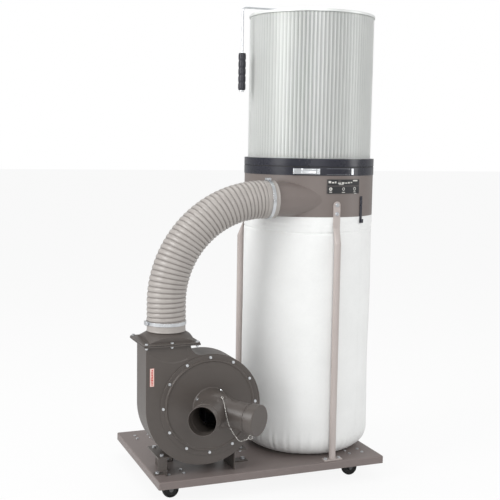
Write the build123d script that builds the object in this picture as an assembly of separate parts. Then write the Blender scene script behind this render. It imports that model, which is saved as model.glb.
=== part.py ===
from build123d import *
import os
from math import atan2, cos, degrees, radians, sin, sqrt, tan

# Dust collector: wheeled base plate, fan blower with its motor, corrugated duct, separator drum
# on three legs, dust bag below the drum and cartridge filter above it.
# Millimetres. The model is drawn about the middle of the base plate, with Z = 0 on the floor,
# X to the right along the front edge and Y towards the back. At export everything moves by
# the same step, so that the origin is the middle of the underside of the whole machine.

# ---- driving dimensions ---------------------------------------------------------------------

# base plate
PLATE_LENGTH = 888
PLATE_WIDTH = 612
PLATE_TOP = 90
PLATE_SHEET = 2.5
PLATE_LIP = 28

# swivel casters
CASTER_X = 360
CASTER_Y = 219
CASTER_BOLTS_X = 55
CASTER_BOLTS_Y = 38
CASTER_BOLT_R = 3
WHEEL_R = 30
WHEEL_WIDTH = 22
WHEEL_TRAIL = 17
AXLE_R = 4
KINGPIN_R = 5
RUNNING_GAP = 0.05

# blower, its axis along Y
FAN_X = -250
FAN_Z = 343
CASING_FRONT = -275
CASING_DEPTH = 120
CASING_BACK = CASING_FRONT + CASING_DEPTH
CASING_SHEET = 3
SCROLL_LEFT = 234
SCROLL_BOTTOM = 216
SCROLL_RIGHT = 192
SCROLL_TOP = 184
NECK_RIGHT = -73
NECK_FILLET = 42
COVER_R = 182
COVER_BOLT_R = 172
COVER_BOLTS = 12
COVER_OPENING_R = 158
SHAFT_HOLE_R = 30
COLLAR_R = 62.5
IMPELLER_R = 150
BLADES = 8

# outlet flange and hood
FLANGE_X = -393
FLANGE_Y = -193
FLANGE_LENGTH = 203
FLANGE_WIDTH = 196
FLANGE_Z = 565
FLANGE_SHEET = 4
GASKET = 2
HOOD_RISE = 31
HOOD_LENGTH = 164
HOOD_WIDTH = 158
HOOD_FOOT_R = 116
RECESS_R = 128
RECESS_DROP = 62
RECESS_DEPTH = 1.4
SPIGOT_R = 62.5
SPIGOT_SHEET = 2

# duct hose: up, one bend in the plane y = HOSE_Y, then level
HOSE_X = -389
HOSE_Y = -195
HOSE_R = 69.5
HOSE_BORE_R = 63
HOSE_FOOT_Z = 606
HOSE_TOP_Z = 1066
HOSE_BEND_R = 362
HOSE_END_X = 14
CLAMP_LOWER_Z = 635
CLAMP_UPPER_X = -8
CLAMP_WIDTH = 12

# inlet with two branches
BRANCH_ANGLE = 36
BRANCH_ROLL = 4.4
BRANCH_R = 50
BRANCH_NECK_R = 49.4
BRANCH_LENGTH = 169
BRANCH_SPLIT = 71
BRANCH_SHEET = 1.5
PORT_STRAIGHT = 34
CAP_R = 54.5
CAP_SKIRT = 30
CAP_PROUD = 6
CAP_TRAVEL = 60

# tower: separator drum, bag and filter on one vertical axis
TOWER_X = 238
TOWER_Y = -15
DRUM_R = 249
DRUM_SHEET = 2
DRUM_BOTTOM = 1003
DRUM_TOP = 1185
INLET_PIPE_R = 62.5
BAG_R = 250
BAG_CLOTH = 2.5
BAG_SEAM_Z = 948
BAG_CORNER = 75
BELT_WIDTH = 30
RIM_R = 250.5
RIM_BOTTOM = 1188
RIM_TOP = 1216
MESH_R = 237
FILTER_TOP = 1744
CAP_RIM = 9
PLEATS = 100
PLEAT_DEPTH = 34
PLEAT_SHIFT = 6
CRANK_Z = 1770
CRANK_REACH = 284
CRANK_R = 4
GRIP_TOP = 1602
GRIP_BOTTOM = 1466
GRIP_R = 14
GRIP_GROOVE = 1.5

# support legs
LEG_ANGLES = {"front": -90, "left": 150, "right": 45}
LEG_CIRCLE_R = 264.5
LEG_R = 12.5
STRAP_WIDTH = 27
STRAP_SHEET = 4

# motor, on the fan axis behind the casing
MOTOR_R = 78
MOTOR_FIN_R = 86
MOTOR_FRONT = CASING_BACK + 32
MOTOR_BACK = MOTOR_FRONT + 182
SHAFT_R = 12
STATOR_R = 67.5
ROTOR_R = 41

CENTRED_LOW = (Align.CENTER, Align.CENTER, Align.MIN)
CENTRED_HIGH = (Align.CENTER, Align.CENTER, Align.MAX)
UP = (0, 0, 1)

nodes = {}

# ---- helpers --------------------------------------------------------------------------------


def block(x0, x1, y0, y1, z0, z1):
    """Box between two corners."""
    return Pos((x0 + x1) / 2, (y0 + y1) / 2, (z0 + z1) / 2) * Box(x1 - x0, y1 - y0, z1 - z0)


def rod(point, direction, radius, length):
    """Cylinder that starts at a point and runs along a direction."""
    return Plane(origin=point, z_dir=direction) * Cylinder(radius, length, align=CENTRED_LOW)


def tube(point, direction, outer, inner, length):
    """Round tube that starts at a point and runs along a direction."""
    return rod(point, direction, outer, length) - rod(point, direction, inner, length)


def upright(radius, z0, z1, x=TOWER_X, y=TOWER_Y):
    """Vertical cylinder between two heights."""
    return rod((x, y, z0), UP, radius, z1 - z0)


def ring(outer, inner, z0, z1, x=TOWER_X, y=TOWER_Y):
    """Vertical ring between two heights."""
    return upright(outer, z0, z1, x, y) - upright(inner, z0, z1, x, y)


def turned(profile, x=TOWER_X, y=TOWER_Y):
    """Solid of revolution about a vertical axis from (radius, height) points."""
    outline = make_face(Polyline(*[(r, 0, z) for r, z in profile], close=True))
    return Pos(x, y, 0) * revolve(outline, Axis.Z)


def fan_turned(profile, x=FAN_X, z=FAN_Z):
    """Solid of revolution about a level axis along Y from (radius, y) points."""
    outline = make_face(Polyline(*[(r, y, 0) for r, y in profile], close=True))
    return Pos(x, 0, z) * revolve(outline, Axis.Y)


def bolt(point, direction, radius, grip, nut=True, head=1.3):
    """Hexagon bolt: its washer stands on the point and its shank runs against the direction."""
    across = radius * 1.9
    body = Cylinder(across * 1.1, 0.8, align=CENTRED_LOW)
    body += Pos(0, 0, 0.8) * extrude(RegularPolygon(across, 6), radius * head)
    body += Cylinder(radius, grip, align=CENTRED_HIGH)
    if nut:
        body += Pos(0, 0, -grip) * extrude(RegularPolygon(across, 6), -radius * 1.6)
        body += Pos(0, 0, -grip) * Cylinder(radius, radius * 2.4, align=CENTRED_HIGH)
    return Plane(origin=point, z_dir=direction) * body


def drill(solid, points, direction, radius, depth=20):
    """Cuts round holes that run both ways from each point."""
    for point in points:
        start = Vector(*point) - Vector(*direction).normalized() * depth / 2
        solid -= rod(start, direction, radius, depth)
    return solid


def around(radius, angle, z, x=TOWER_X, y=TOWER_Y):
    """Point on a level circle about a vertical axis."""
    return (x + radius * cos(radians(angle)), y + radius * sin(radians(angle)), z)


def outwards(angle):
    """Level direction away from a vertical axis."""
    return (cos(radians(angle)), sin(radians(angle)), 0)


def tower_face(angle, radius, z):
    """Plane standing on a circle about the tower: local X level, Y up and Z outwards."""
    level = (-sin(radians(angle)), cos(radians(angle)), 0)
    return Plane(origin=around(radius, angle, z), x_dir=level, z_dir=outwards(angle))


def sector(outer, inner, z0, z1, start, end):
    """The part of a ring about the tower between two angles, less than 90 degrees apart."""
    far = outer * 1.5
    corners = [(0, 0), (far * cos(radians(start)), far * sin(radians(start))),
               (far * cos(radians(end)), far * sin(radians(end)))]
    wedge = extrude(make_face(Polyline(*corners, close=True)), z1 - z0)
    return ring(outer, inner, z0, z1) & (Pos(TOWER_X, TOWER_Y, z0) * wedge)


# ---- base plate and casters -----------------------------------------------------------------

UNDERSIDE = PLATE_TOP - PLATE_SHEET
CASTER_PLATE = 3
RACE_BOTTOM = 76.5
CROWN_TOP = RACE_BOTTOM - 0.5
CROWN_BOTTOM = CROWN_TOP - 3
CHEEK = 2.5
CHEEK_INNER = WHEEL_WIDTH / 2 + 1
CHEEK_OUTER = CHEEK_INNER + CHEEK

caster_centres = [(x, y) for y in (-CASTER_Y, CASTER_Y) for x in (-CASTER_X, CASTER_X)]
caster_holes = [(x + i * CASTER_BOLTS_X / 2, y + j * CASTER_BOLTS_Y / 2, PLATE_TOP)
                for x, y in caster_centres for i in (-1, 1) for j in (-1, 1)]


def tray(inset, z0, z1, corner):
    """Plate-shaped block with rounded upright corners and a rounded top edge."""
    half_x = PLATE_LENGTH / 2 - inset
    half_y = PLATE_WIDTH / 2 - inset
    body = block(-half_x, half_x, -half_y, half_y, z0, z1)
    body = fillet(body.edges().filter_by(Axis.Z), corner)
    return fillet(body.faces().sort_by(Axis.Z)[-1].edges(), corner * 0.8)


def caster_plate(x, y):
    """Top plate with the ball race and the kingpin, whose head is riveted under the crown."""
    plate = block(x - 38, x + 38, y - 29, y + 29, UNDERSIDE - CASTER_PLATE, UNDERSIDE)
    plate = fillet(plate.edges().filter_by(Axis.Z), 6)
    plate += upright(17, RACE_BOTTOM, UNDERSIDE - CASTER_PLATE, x, y)
    plate += upright(KINGPIN_R, CROWN_BOTTOM - 3.5, RACE_BOTTOM, x, y)
    plate += upright(8, CROWN_BOTTOM - 3.5, CROWN_BOTTOM - 0.5, x, y)
    return plate


def caster_fork(x, y):
    """Pressed fork: crown, two cheeks and the axle riveted through them."""
    axle_x = x - WHEEL_TRAIL
    fork = upright(18, CROWN_BOTTOM, CROWN_TOP, x, y)
    fork += block(x - 20, x + 12, y - CHEEK_OUTER, y + CHEEK_OUTER, CROWN_BOTTOM, CROWN_TOP)
    corners = [(x - 20, CROWN_TOP), (x + 12, CROWN_TOP), (x + 12, CROWN_TOP - 8),
               (axle_x + 8, WHEEL_R), (axle_x - 8, WHEEL_R), (x - 24, CROWN_TOP - 16)]
    cheek = make_face(Polyline(*corners, close=True)) + Pos(axle_x, WHEEL_R) * Circle(8)
    for side in (-1, 1):
        middle = y + side * (CHEEK_INNER + CHEEK_OUTER) / 2
        upright_plane = Plane(origin=(0, middle, 0), x_dir=(1, 0, 0), z_dir=(0, -1, 0))
        fork += upright_plane * extrude(cheek, CHEEK / 2, both=True)
        fork += rod((axle_x, y + side * CHEEK_OUTER, WHEEL_R), (0, side, 0), 6.5, 2)
    fork += rod((axle_x, y - CHEEK_OUTER, WHEEL_R), (0, 1, 0), AXLE_R, 2 * CHEEK_OUTER)
    return fork - upright(KINGPIN_R + RUNNING_GAP, CROWN_BOTTOM - 1, CROWN_TOP + 1, x, y)


def caster_wheel(x, y):
    """Moulded wheel with a rounded tread, dished sides and a hub."""
    half = WHEEL_WIDTH / 2
    bore = AXLE_R + RUNNING_GAP
    side = [(bore, half), (9, half), (11, half - 4), (22, half - 4), (24, half - 1), (27, half - 1),
            (29.2, half - 3), (WHEEL_R, half - 6)]
    profile = [(r, -v) for r, v in side] + [(r, v) for r, v in reversed(side)]
    return Pos(0, y, 0) * fan_turned(profile, x - WHEEL_TRAIL, WHEEL_R)


base_plate = tray(0, PLATE_TOP - PLATE_LIP, PLATE_TOP, 5)
base_plate -= tray(PLATE_SHEET, PLATE_TOP - PLATE_LIP, UNDERSIDE, 2.5)

nodes["caster_plates"] = [drill(caster_plate(x, y), caster_holes, UP, CASTER_BOLT_R)
                          for x, y in caster_centres]
nodes["caster_bolts"] = [bolt(hole, UP, CASTER_BOLT_R, PLATE_SHEET + CASTER_PLATE, head=0.7)
                         for hole in caster_holes]
base_plate = drill(base_plate, caster_holes, UP, CASTER_BOLT_R)
for number, (x, y) in enumerate(caster_centres, 1):
    nodes[f"caster_fork_{number}"] = [caster_fork(x, y)]
    nodes[f"caster_wheel_{number}"] = [caster_wheel(x, y)]

# ---- blower casing --------------------------------------------------------------------------

# The scroll is three tangent arcs of falling radius. Their radii and centres follow from how
# far the scroll reaches to the left, bottom, right and top of the fan axis.
R2 = (SCROLL_LEFT + SCROLL_RIGHT + SCROLL_TOP + SCROLL_BOTTOM) / 4
R1 = SCROLL_LEFT + SCROLL_RIGHT - R2
R3 = SCROLL_TOP + SCROLL_BOTTOM - R2
C1 = (SCROLL_RIGHT - R2, R1 - SCROLL_BOTTOM)
C2 = (C1[0], R2 - SCROLL_BOTTOM)
C3 = (SCROLL_RIGHT - R3, C2[1])
# A concave arc joins the scroll's top to the right wall of the neck.
fillet_x = NECK_RIGHT + NECK_FILLET
CF = (fillet_x, C3[1] + sqrt((R3 + NECK_FILLET) ** 2 - (fillet_x - C3[0]) ** 2))
MEET = degrees(atan2(CF[1] - C3[1], CF[0] - C3[0]))
NECK_TOP = FLANGE_Z - FAN_Z


def scroll_face(inset, top):
    """Outline of the scroll and its neck about the fan axis, moved inwards by a wall."""
    left = -SCROLL_LEFT + inset
    right = NECK_RIGHT - inset
    outline = [
        Line((left, top), (left, C1[1])),
        CenterArc(C1, R1 - inset, 180, 90),
        CenterArc(C2, R2 - inset, 270, 90),
        CenterArc(C3, R3 - inset, 0, MEET),
        CenterArc(CF, NECK_FILLET + inset, MEET + 180, -MEET),
        Line((right, CF[1]), (right, top)),
        Line((right, top), (left, top)),
    ]
    return make_face(Curve() + outline)


def fan_plane(y):
    """Plane across the fan axis: local X is right, Y is up and Z is towards the front."""
    return Plane(origin=(FAN_X, y, FAN_Z), x_dir=(1, 0, 0), z_dir=(0, -1, 0))


def on_fan(radius, angle, y):
    """Point on a circle about the fan axis."""
    return (FAN_X + radius * cos(radians(angle)), y, FAN_Z + radius * sin(radians(angle)))


LUG_Z = 157
LUG_SHEET = 3
LUG_Y = (-250, -110)
LUGS = {"left": (-432, -368), "right": (-164, -96)}
lug_bolts = [(x, y, LUG_Z + LUG_SHEET) for x in (-412, -116) for y in (-230, -130)]
COVER_RIM = 3
MOTOR_BOLT_CIRCLE_R = 89
cover_bolts = [on_fan(COVER_BOLT_R, 360 / COVER_BOLTS * i, CASING_FRONT - COVER_RIM)
               for i in range(COVER_BOLTS)]
motor_bolts = [on_fan(MOTOR_BOLT_CIRCLE_R, 90 * i + 45, CASING_BACK - CASING_SHEET) for i in range(4)]
bolts_x = FLANGE_LENGTH / 2 - 10
bolts_y = FLANGE_WIDTH / 2 - 8
flange_top = FLANGE_Z + 2 * FLANGE_SHEET + GASKET
flange_bolts = [(FLANGE_X + i * bolts_x, FLANGE_Y + j * bolts_y, flange_top)
                for i in (-1, 0, 1) for j in (-1, 1)]
FLANGE_BOX = (FLANGE_X - FLANGE_LENGTH / 2, FLANGE_X + FLANGE_LENGTH / 2,
              FLANGE_Y - FLANGE_WIDTH / 2, FLANGE_Y + FLANGE_WIDTH / 2)
NECK_BOX = (FAN_X - SCROLL_LEFT + CASING_SHEET, FAN_X + NECK_RIGHT - CASING_SHEET,
            CASING_FRONT + CASING_SHEET, CASING_BACK - CASING_SHEET)

casing = fan_plane(CASING_BACK) * extrude(scroll_face(0, NECK_TOP), CASING_DEPTH)
casing += block(*FLANGE_BOX, FLANGE_Z, FLANGE_Z + FLANGE_SHEET)
for x0, x1 in LUGS.values():
    casing += block(x0, x1, *LUG_Y, LUG_Z, LUG_Z + LUG_SHEET)
inside = extrude(scroll_face(CASING_SHEET, NECK_TOP + 2 * FLANGE_SHEET), CASING_DEPTH - 2 * CASING_SHEET)
casing -= fan_plane(CASING_BACK - CASING_SHEET) * inside
casing -= rod((FAN_X, CASING_FRONT - 1, FAN_Z), (0, 1, 0), COVER_OPENING_R, CASING_SHEET + 2)
casing -= rod((FAN_X, CASING_BACK - CASING_SHEET - 1, FAN_Z), (0, 1, 0), SHAFT_HOLE_R, CASING_SHEET + 2)
recess_z = FLANGE_Z - RECESS_DROP + RECESS_R
recess = Plane(origin=(FLANGE_X + 8, CASING_FRONT + RECESS_DEPTH, recess_z), z_dir=(0, -1, 0))
recess *= Cone(RECESS_R - 4, RECESS_R, RECESS_DEPTH, align=CENTRED_LOW)
recess &= block(FAN_X - SCROLL_LEFT + 10, FAN_X + NECK_RIGHT - 10, CASING_FRONT - 1, CASING_FRONT + 5,
                0, FLANGE_Z - 2)
casing -= recess
casing = drill(casing, cover_bolts, (0, 1, 0), 2.5)
casing = drill(casing, motor_bolts, (0, 1, 0), 4)
casing = drill(casing, flange_bolts, UP, 3, 30)
casing = drill(casing, lug_bolts, UP, 4)
nodes["blower_casing"] = [casing]

# Front cover: flat rim, a raised bead inside the bolts, a shallow dish and the inlet collar.
COVER_SCREW_R = 2.5
cover_steps = [
    (COVER_R, 0), (COVER_R, COVER_RIM), (166.5, COVER_RIM), (164, 8), (160, 8), (156, 5),
    (COLLAR_R + 4, 9), (COLLAR_R, 13), (COLLAR_R, 45), (COLLAR_R - 2, 45), (COLLAR_R - 2, 11),
    (COLLAR_R + 2, 6), (155, 2), (155, 0)]
cover = fan_turned([(radius, CASING_FRONT - rise) for radius, rise in cover_steps])
nodes["blower_cover"] = [drill(cover, cover_bolts, (0, 1, 0), COVER_SCREW_R)]
nodes["cover_screws"] = [bolt(hole, (0, -1, 0), COVER_SCREW_R, COVER_RIM + CASING_SHEET)
                         for hole in cover_bolts]

LABEL_X = (-470, -455)
LABEL_TOP = FAN_Z + 147
LABEL_HEIGHT = 64
LABEL_FILM = 0.4
nodes["warning_label"] = [block(*LABEL_X, CASING_FRONT - LABEL_FILM, CASING_FRONT,
                                LABEL_TOP - LABEL_HEIGHT, LABEL_TOP)]

# ---- impeller, motor ------------------------------------------------------------------------

HUB_BACK = CASING_BACK - 10
BACK_DISC = HUB_BACK - 4
HUB_R = 26
BLADE_ROOT_R = 34
BLADE_HEIGHT = 62
BLADE_TIP_HEIGHT = 46


def blade(angle):
    """Straight plate blade standing on the back disc, cut lower towards the rim."""
    corners = [(BLADE_ROOT_R, 0), (IMPELLER_R, 0), (IMPELLER_R, BLADE_TIP_HEIGHT), (60, BLADE_HEIGHT),
               (BLADE_ROOT_R, BLADE_HEIGHT)]
    solid = extrude(make_face(Polyline(*corners, close=True)), 1.5, both=True)
    return Pos(FAN_X, BACK_DISC, FAN_Z) * (Rot(0, -angle, 0) * (Rot(180, 0, 0) * solid))


hub_front = BACK_DISC - 50
impeller = fan_turned([(SHAFT_R, HUB_BACK), (HUB_R, HUB_BACK), (HUB_R, BACK_DISC), (IMPELLER_R, BACK_DISC),
                       (IMPELLER_R, BACK_DISC - 3), (40, BACK_DISC - 3), (HUB_R, hub_front),
                       (SHAFT_R, hub_front)])
for i in range(BLADES):
    impeller += blade(360 / BLADES * i)
nodes["impeller"] = [impeller]
nodes["impeller_bolt"] = [bolt((FAN_X, hub_front - 3, FAN_Z), (0, -1, 0), 4, 20, nut=False)
                          + tube((FAN_X, hub_front - 3, FAN_Z), (0, 1, 0), 18, 3.9, 3)]

BEARING_FRONT = CASING_BACK + 10
BEARING_BACK = MOTOR_BACK + 4
FAN_Y = MOTOR_BACK + 22
shaft_end = FAN_Y + 24
CORE_FRONT = -108
CORE_BACK = 12
WINDING_R = (46, 62)
shaft = fan_turned([(0, hub_front), (SHAFT_R, hub_front), (SHAFT_R, CORE_FRONT), (ROTOR_R, CORE_FRONT),
                    (ROTOR_R, CORE_BACK), (SHAFT_R, CORE_BACK), (SHAFT_R, shaft_end), (0, shaft_end)])
nodes["motor_shaft"] = [shaft - rod((FAN_X, hub_front - 1, FAN_Z), (0, 1, 0), 4, 20)]


def fan_ring(outer, inner, y0, y1):
    """Ring about the fan axis between two depths."""
    return tube((FAN_X, y0, FAN_Z), (0, 1, 0), outer, inner, y1 - y0)


stator = fan_ring(STATOR_R, ROTOR_R + 1, CORE_FRONT, CORE_BACK)
for y0, y1 in ((CORE_FRONT - 14, CORE_FRONT), (CORE_BACK, CORE_BACK + 22)):
    stator += fan_ring(WINDING_R[1], WINDING_R[0], y0, y1)
nodes["motor_stator"] = [stator]

frame = fan_ring(MOTOR_R, STATOR_R, MOTOR_FRONT, MOTOR_BACK)
fin_reach = MOTOR_FIN_R - MOTOR_R + 3
for angle in range(-60, 241, 12):
    fin = Pos(MOTOR_R - 3 + fin_reach / 2, 0, 0) * Box(fin_reach, MOTOR_BACK - MOTOR_FRONT - 24, 2.5)
    frame += Pos(FAN_X, (MOTOR_FRONT + MOTOR_BACK) / 2, FAN_Z) * (Rot(0, -angle, 0) * fin)
FOOT_Z = 250
FOOT_SHEET = 10
foot_bolts = [(FAN_X + i * 62, y, FOOT_Z + FOOT_SHEET) for i in (-1, 1)
              for y in (MOTOR_FRONT + 30, MOTOR_BACK - 45)]
foot_y = (MOTOR_FRONT + 12, MOTOR_BACK - 27)
for side in (-1, 1):
    frame += block(*sorted((FAN_X + side * 78, FAN_X + side * 30)), *foot_y, FOOT_Z, FOOT_Z + FOOT_SHEET)
    frame += block(*sorted((FAN_X + side * 30, FAN_X + side * 44)), *foot_y, FOOT_Z, FAN_Z - 66)
frame -= rod((FAN_X, MOTOR_FRONT - 1, FAN_Z), (0, 1, 0), STATOR_R, MOTOR_BACK - MOTOR_FRONT + 2)
nodes["motor_body"] = [drill(frame, foot_bolts, UP, 4, 24)]

BEARING_R = 26
SHIELD_FLANGE_R = 100
shield_depth = MOTOR_FRONT - CASING_BACK
shield_steps = [
    (SHIELD_FLANGE_R, 0), (SHIELD_FLANGE_R, 10), (MOTOR_R, 10), (MOTOR_R, shield_depth), (60, shield_depth),
    (60, 24), (BEARING_R, 24), (BEARING_R, 10), (SHAFT_R + 1, 10), (SHAFT_R + 1, 0)]
front_shield = fan_turned([(radius, CASING_BACK + step) for radius, step in shield_steps])
nodes["motor_front_shield"] = [drill(front_shield, motor_bolts, (0, 1, 0), 4, 40)]
rear_steps = [(MOTOR_R, 0), (MOTOR_R, 10), (60, 18), (SHAFT_R + 1, 18), (SHAFT_R + 1, 16), (BEARING_R, 16),
              (BEARING_R, 0)]
nodes["motor_rear_shield"] = [fan_turned([(radius, MOTOR_BACK + step) for radius, step in rear_steps])]
nodes["motor_bearings"] = [fan_ring(BEARING_R, SHAFT_R + RUNNING_GAP, y, y + 12)
                           for y in (BEARING_FRONT, BEARING_BACK)]

cooling_fan = tube((FAN_X, FAN_Y, FAN_Z), (0, 1, 0), 22, SHAFT_R, 20)
cooling_fan += tube((FAN_X, FAN_Y, FAN_Z), (0, 1, 0), 62, SHAFT_R, 2.5)
for i in range(7):
    vane = Pos(40, 10, 0) * Box(42, 18, 2)
    cooling_fan += Pos(FAN_X, FAN_Y, FAN_Z) * (Rot(0, 360 / 7 * i, 0) * vane)
nodes["motor_fan"] = [cooling_fan]

COVER_END = FAN_Y + 34
fan_cover = fan_turned([
    (MOTOR_R + 1.6, MOTOR_BACK - 6), (MOTOR_R + 1.6, COVER_END - 12), (MOTOR_R - 8, COVER_END),
    (0, COVER_END), (0, COVER_END - 1.6), (MOTOR_R - 9, COVER_END - 1.6), (MOTOR_R, COVER_END - 12),
    (MOTOR_R, MOTOR_BACK - 6)])
for radius in (20, 32, 44, 56):
    for i in range(6):
        slot = extrude(SlotArc(CenterArc((0, 0), radius, 60 * i + 8, 44), 5), 4, both=True)
        fan_cover -= Plane(origin=(FAN_X, COVER_END, FAN_Z), x_dir=(1, 0, 0), z_dir=(0, -1, 0)) * slot
nodes["fan_cover"] = [fan_cover - nodes["motor_body"][0]]

# Capacitor housing and switch box sit on the motor. The box carries the two push buttons.
motor_space = rod((FAN_X, -200, FAN_Z), (0, 1, 0), MOTOR_FIN_R + 0.2, 300)
capacitor = block(FAN_X + 78, FAN_X + 128, -90, 10, FAN_Z + 5, FAN_Z + 50)
capacitor = fillet(capacitor.edges().filter_by(Axis.Y), 18) - motor_space
nodes["capacitor_box"] = [capacitor]
BOX_TOP = FAN_Z + 132
BOX_X = (FAN_X - 45, FAN_X + 45)
BOX_Y = (-92, 28)
switch_box = block(*BOX_X, *BOX_Y, FAN_Z + 70, BOX_TOP)
switch_box = fillet(switch_box.edges().filter_by(Axis.Z), 6)
switch_box -= motor_space
BUTTON_R = 9
BUTTON_GAP = 0.35
buttons = {"start_button": (FAN_X - 20, -32), "stop_button": (FAN_X + 20, -32)}
for x, y in buttons.values():
    switch_box += ring(13, BUTTON_R, BOX_TOP, BOX_TOP + 3, x, y)
    switch_box -= upright(BUTTON_R + BUTTON_GAP, BOX_TOP - 14, BOX_TOP + 4, x, y)
GLAND = (FAN_X, BOX_Y[1], BOX_TOP - 24)
switch_box -= rod(GLAND, (0, -1, 0), 8, 10)
nodes["switch_box"] = [switch_box]
BUTTON_TRAVEL = 4
for name, (x, y) in buttons.items():
    rise = 7 if name == "start_button" else 10
    nodes[name] = [upright(BUTTON_R, BOX_TOP - 8, BOX_TOP + rise, x, y)]
gland = extrude(RegularPolygon(12, 6), 6) + Cylinder(8, 10, align=CENTRED_HIGH)
gland += Pos(0, 0, 6) * Cone(10.5, 7, 14, align=CENTRED_LOW)
nodes["cable_gland"] = [Plane(origin=GLAND, z_dir=(0, 1, 0)) * (gland - Cylinder(4, 60))]

# ---- stand under the blower and motor -------------------------------------------------------

STAND_SHEET = 3
WEB_LEFT = -402
WEB_RIGHT = -150
LEG_DEPTH = {"left": (-250, -110), "right": (-262, -150)}
lug_under = LUG_Z - STAND_SHEET
left_leg = block(WEB_LEFT, WEB_LEFT + STAND_SHEET, *LEG_DEPTH["left"], PLATE_TOP, LUG_Z)
left_leg += block(-432, WEB_LEFT, *LEG_DEPTH["left"], lug_under, LUG_Z)
left_leg += block(-432, WEB_LEFT, -250, -250 + STAND_SHEET, PLATE_TOP + 22, LUG_Z)
left_leg += block(-438, WEB_LEFT, -228, -206, PLATE_TOP, PLATE_TOP + STAND_SHEET)
left_leg += block(WEB_LEFT, -372, -190, -110, PLATE_TOP, PLATE_TOP + STAND_SHEET)
right_leg = block(WEB_RIGHT, WEB_RIGHT + STAND_SHEET, *LEG_DEPTH["right"], PLATE_TOP, LUG_Z)
right_leg += block(WEB_RIGHT, -96, *LUG_Y, lug_under, LUG_Z)
right_leg += block(WEB_RIGHT, -66, -190, -150, PLATE_TOP, PLATE_TOP + STAND_SHEET)
PEDESTAL_X = (FAN_X - 84, FAN_X + 84)
PEDESTAL_Y = (LUG_Y[1] + 8, MOTOR_BACK - 20)
pedestal = block(*PEDESTAL_X, *PEDESTAL_Y, PLATE_TOP, FOOT_Z)
pedestal -= block(PEDESTAL_X[0] + STAND_SHEET, PEDESTAL_X[1] - STAND_SHEET, PEDESTAL_Y[0] - 1,
                  PEDESTAL_Y[1] + 1, PLATE_TOP, FOOT_Z - STAND_SHEET)
pedestal += block(PEDESTAL_X[0] - 28, PEDESTAL_X[0], *PEDESTAL_Y, PLATE_TOP, PLATE_TOP + STAND_SHEET)
pedestal += block(PEDESTAL_X[1], PEDESTAL_X[1] + 28, *PEDESTAL_Y, PLATE_TOP, PLATE_TOP + STAND_SHEET)
stand_foot = PLATE_TOP + STAND_SHEET
foot_places = [(-386, -170), (-386, -125), (-424, -217), (-79, -165), (-120, -165)]
foot_places += [(x, y) for x in (PEDESTAL_X[0] - 14, PEDESTAL_X[1] + 14)
                for y in (PEDESTAL_Y[0] + 18, PEDESTAL_Y[1] - 18)]
stand_bolts = [(x, y, stand_foot) for x, y in foot_places]
stand = [drill(piece, stand_bolts, UP, 4) for piece in (left_leg, right_leg, pedestal)]
stand = [drill(piece, lug_bolts, UP, 4) for piece in stand]
nodes["blower_stand"] = [drill(piece, foot_bolts, UP, 4, 40) for piece in stand]
base_plate = drill(base_plate, stand_bolts, UP, 4)
nodes["frame_bolts"] = ([bolt(hole, UP, 4, STAND_SHEET + PLATE_SHEET) for hole in stand_bolts]
                        + [bolt(hole, UP, 4, STAND_SHEET + LUG_SHEET) for hole in lug_bolts]
                        + [bolt(hole, UP, 4, STAND_SHEET + FOOT_SHEET) for hole in foot_bolts]
                        + [bolt(hole, (0, -1, 0), 4, CASING_SHEET + 10) for hole in motor_bolts])

# ---- inlet with two branches, and the cap on one of them --------------------------------------

SLEEVE_BACK = CASING_FRONT - 14
SPLIT_Y = CASING_FRONT - BRANCH_SPLIT
TAPER = 62
SLEEVE_R = 64.5
BEAD_END = BRANCH_LENGTH - PORT_STRAIGHT
BEAD_START = BEAD_END - 4
branch_side = Vector(cos(radians(BRANCH_ROLL)), 0, -sin(radians(BRANCH_ROLL)))
branch_ahead = Vector(0, -cos(radians(BRANCH_ANGLE)), 0)
branch_direction = {side: branch_ahead + branch_side * side * sin(radians(BRANCH_ANGLE))
                    for side in (-1, 1)}
split = Vector(FAN_X, SPLIT_Y, FAN_Z)


def branches(inset, overrun):
    """Sleeve, ball at the split and two tapered branches, all smaller by the inset."""
    sleeve_start = (FAN_X, SLEEVE_BACK + overrun, FAN_Z)
    body = rod(sleeve_start, (0, -1, 0), SLEEVE_R - inset, SLEEVE_BACK - SPLIT_Y + overrun)
    body += Pos(*split) * Sphere(SLEEVE_R - inset)
    for direction in branch_direction.values():
        taper = Cone(62 - inset, BRANCH_NECK_R - inset, TAPER, align=CENTRED_LOW)
        body += Plane(origin=split, z_dir=direction) * taper
        body += rod(split + direction * TAPER, direction, BRANCH_NECK_R - inset, BEAD_END - TAPER)
        body += rod(split + direction * BEAD_START, direction, BRANCH_R - inset,
                    BRANCH_LENGTH - BEAD_START + overrun)
    return body


inlet = branches(0, 0)
for direction in branch_direction.values():
    inlet += rod(split + direction * BEAD_START, direction, BRANCH_R + 1.8, BEAD_END - BEAD_START)
inlet -= branches(BRANCH_SHEET, 1)
eye_direction = (Vector(-245, -388, 399) - split).normalized()
inlet += rod(split + eye_direction * 63.5, eye_direction, 2.2, 4)
for angle in range(60, 420, 90):
    point = on_fan(SLEEVE_R, angle, SLEEVE_BACK - 12)
    away = (cos(radians(angle)), 0, sin(radians(angle)))
    inlet = drill(inlet, [point], away, COVER_SCREW_R, 12)
    nodes["blower_cover"] = [drill(nodes["blower_cover"][0], [point], away, COVER_SCREW_R, 12)]
    nodes["cover_screws"] += [bolt(point, away, COVER_SCREW_R, 5, nut=False)]
nodes["inlet_branches"] = [inlet]

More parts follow.
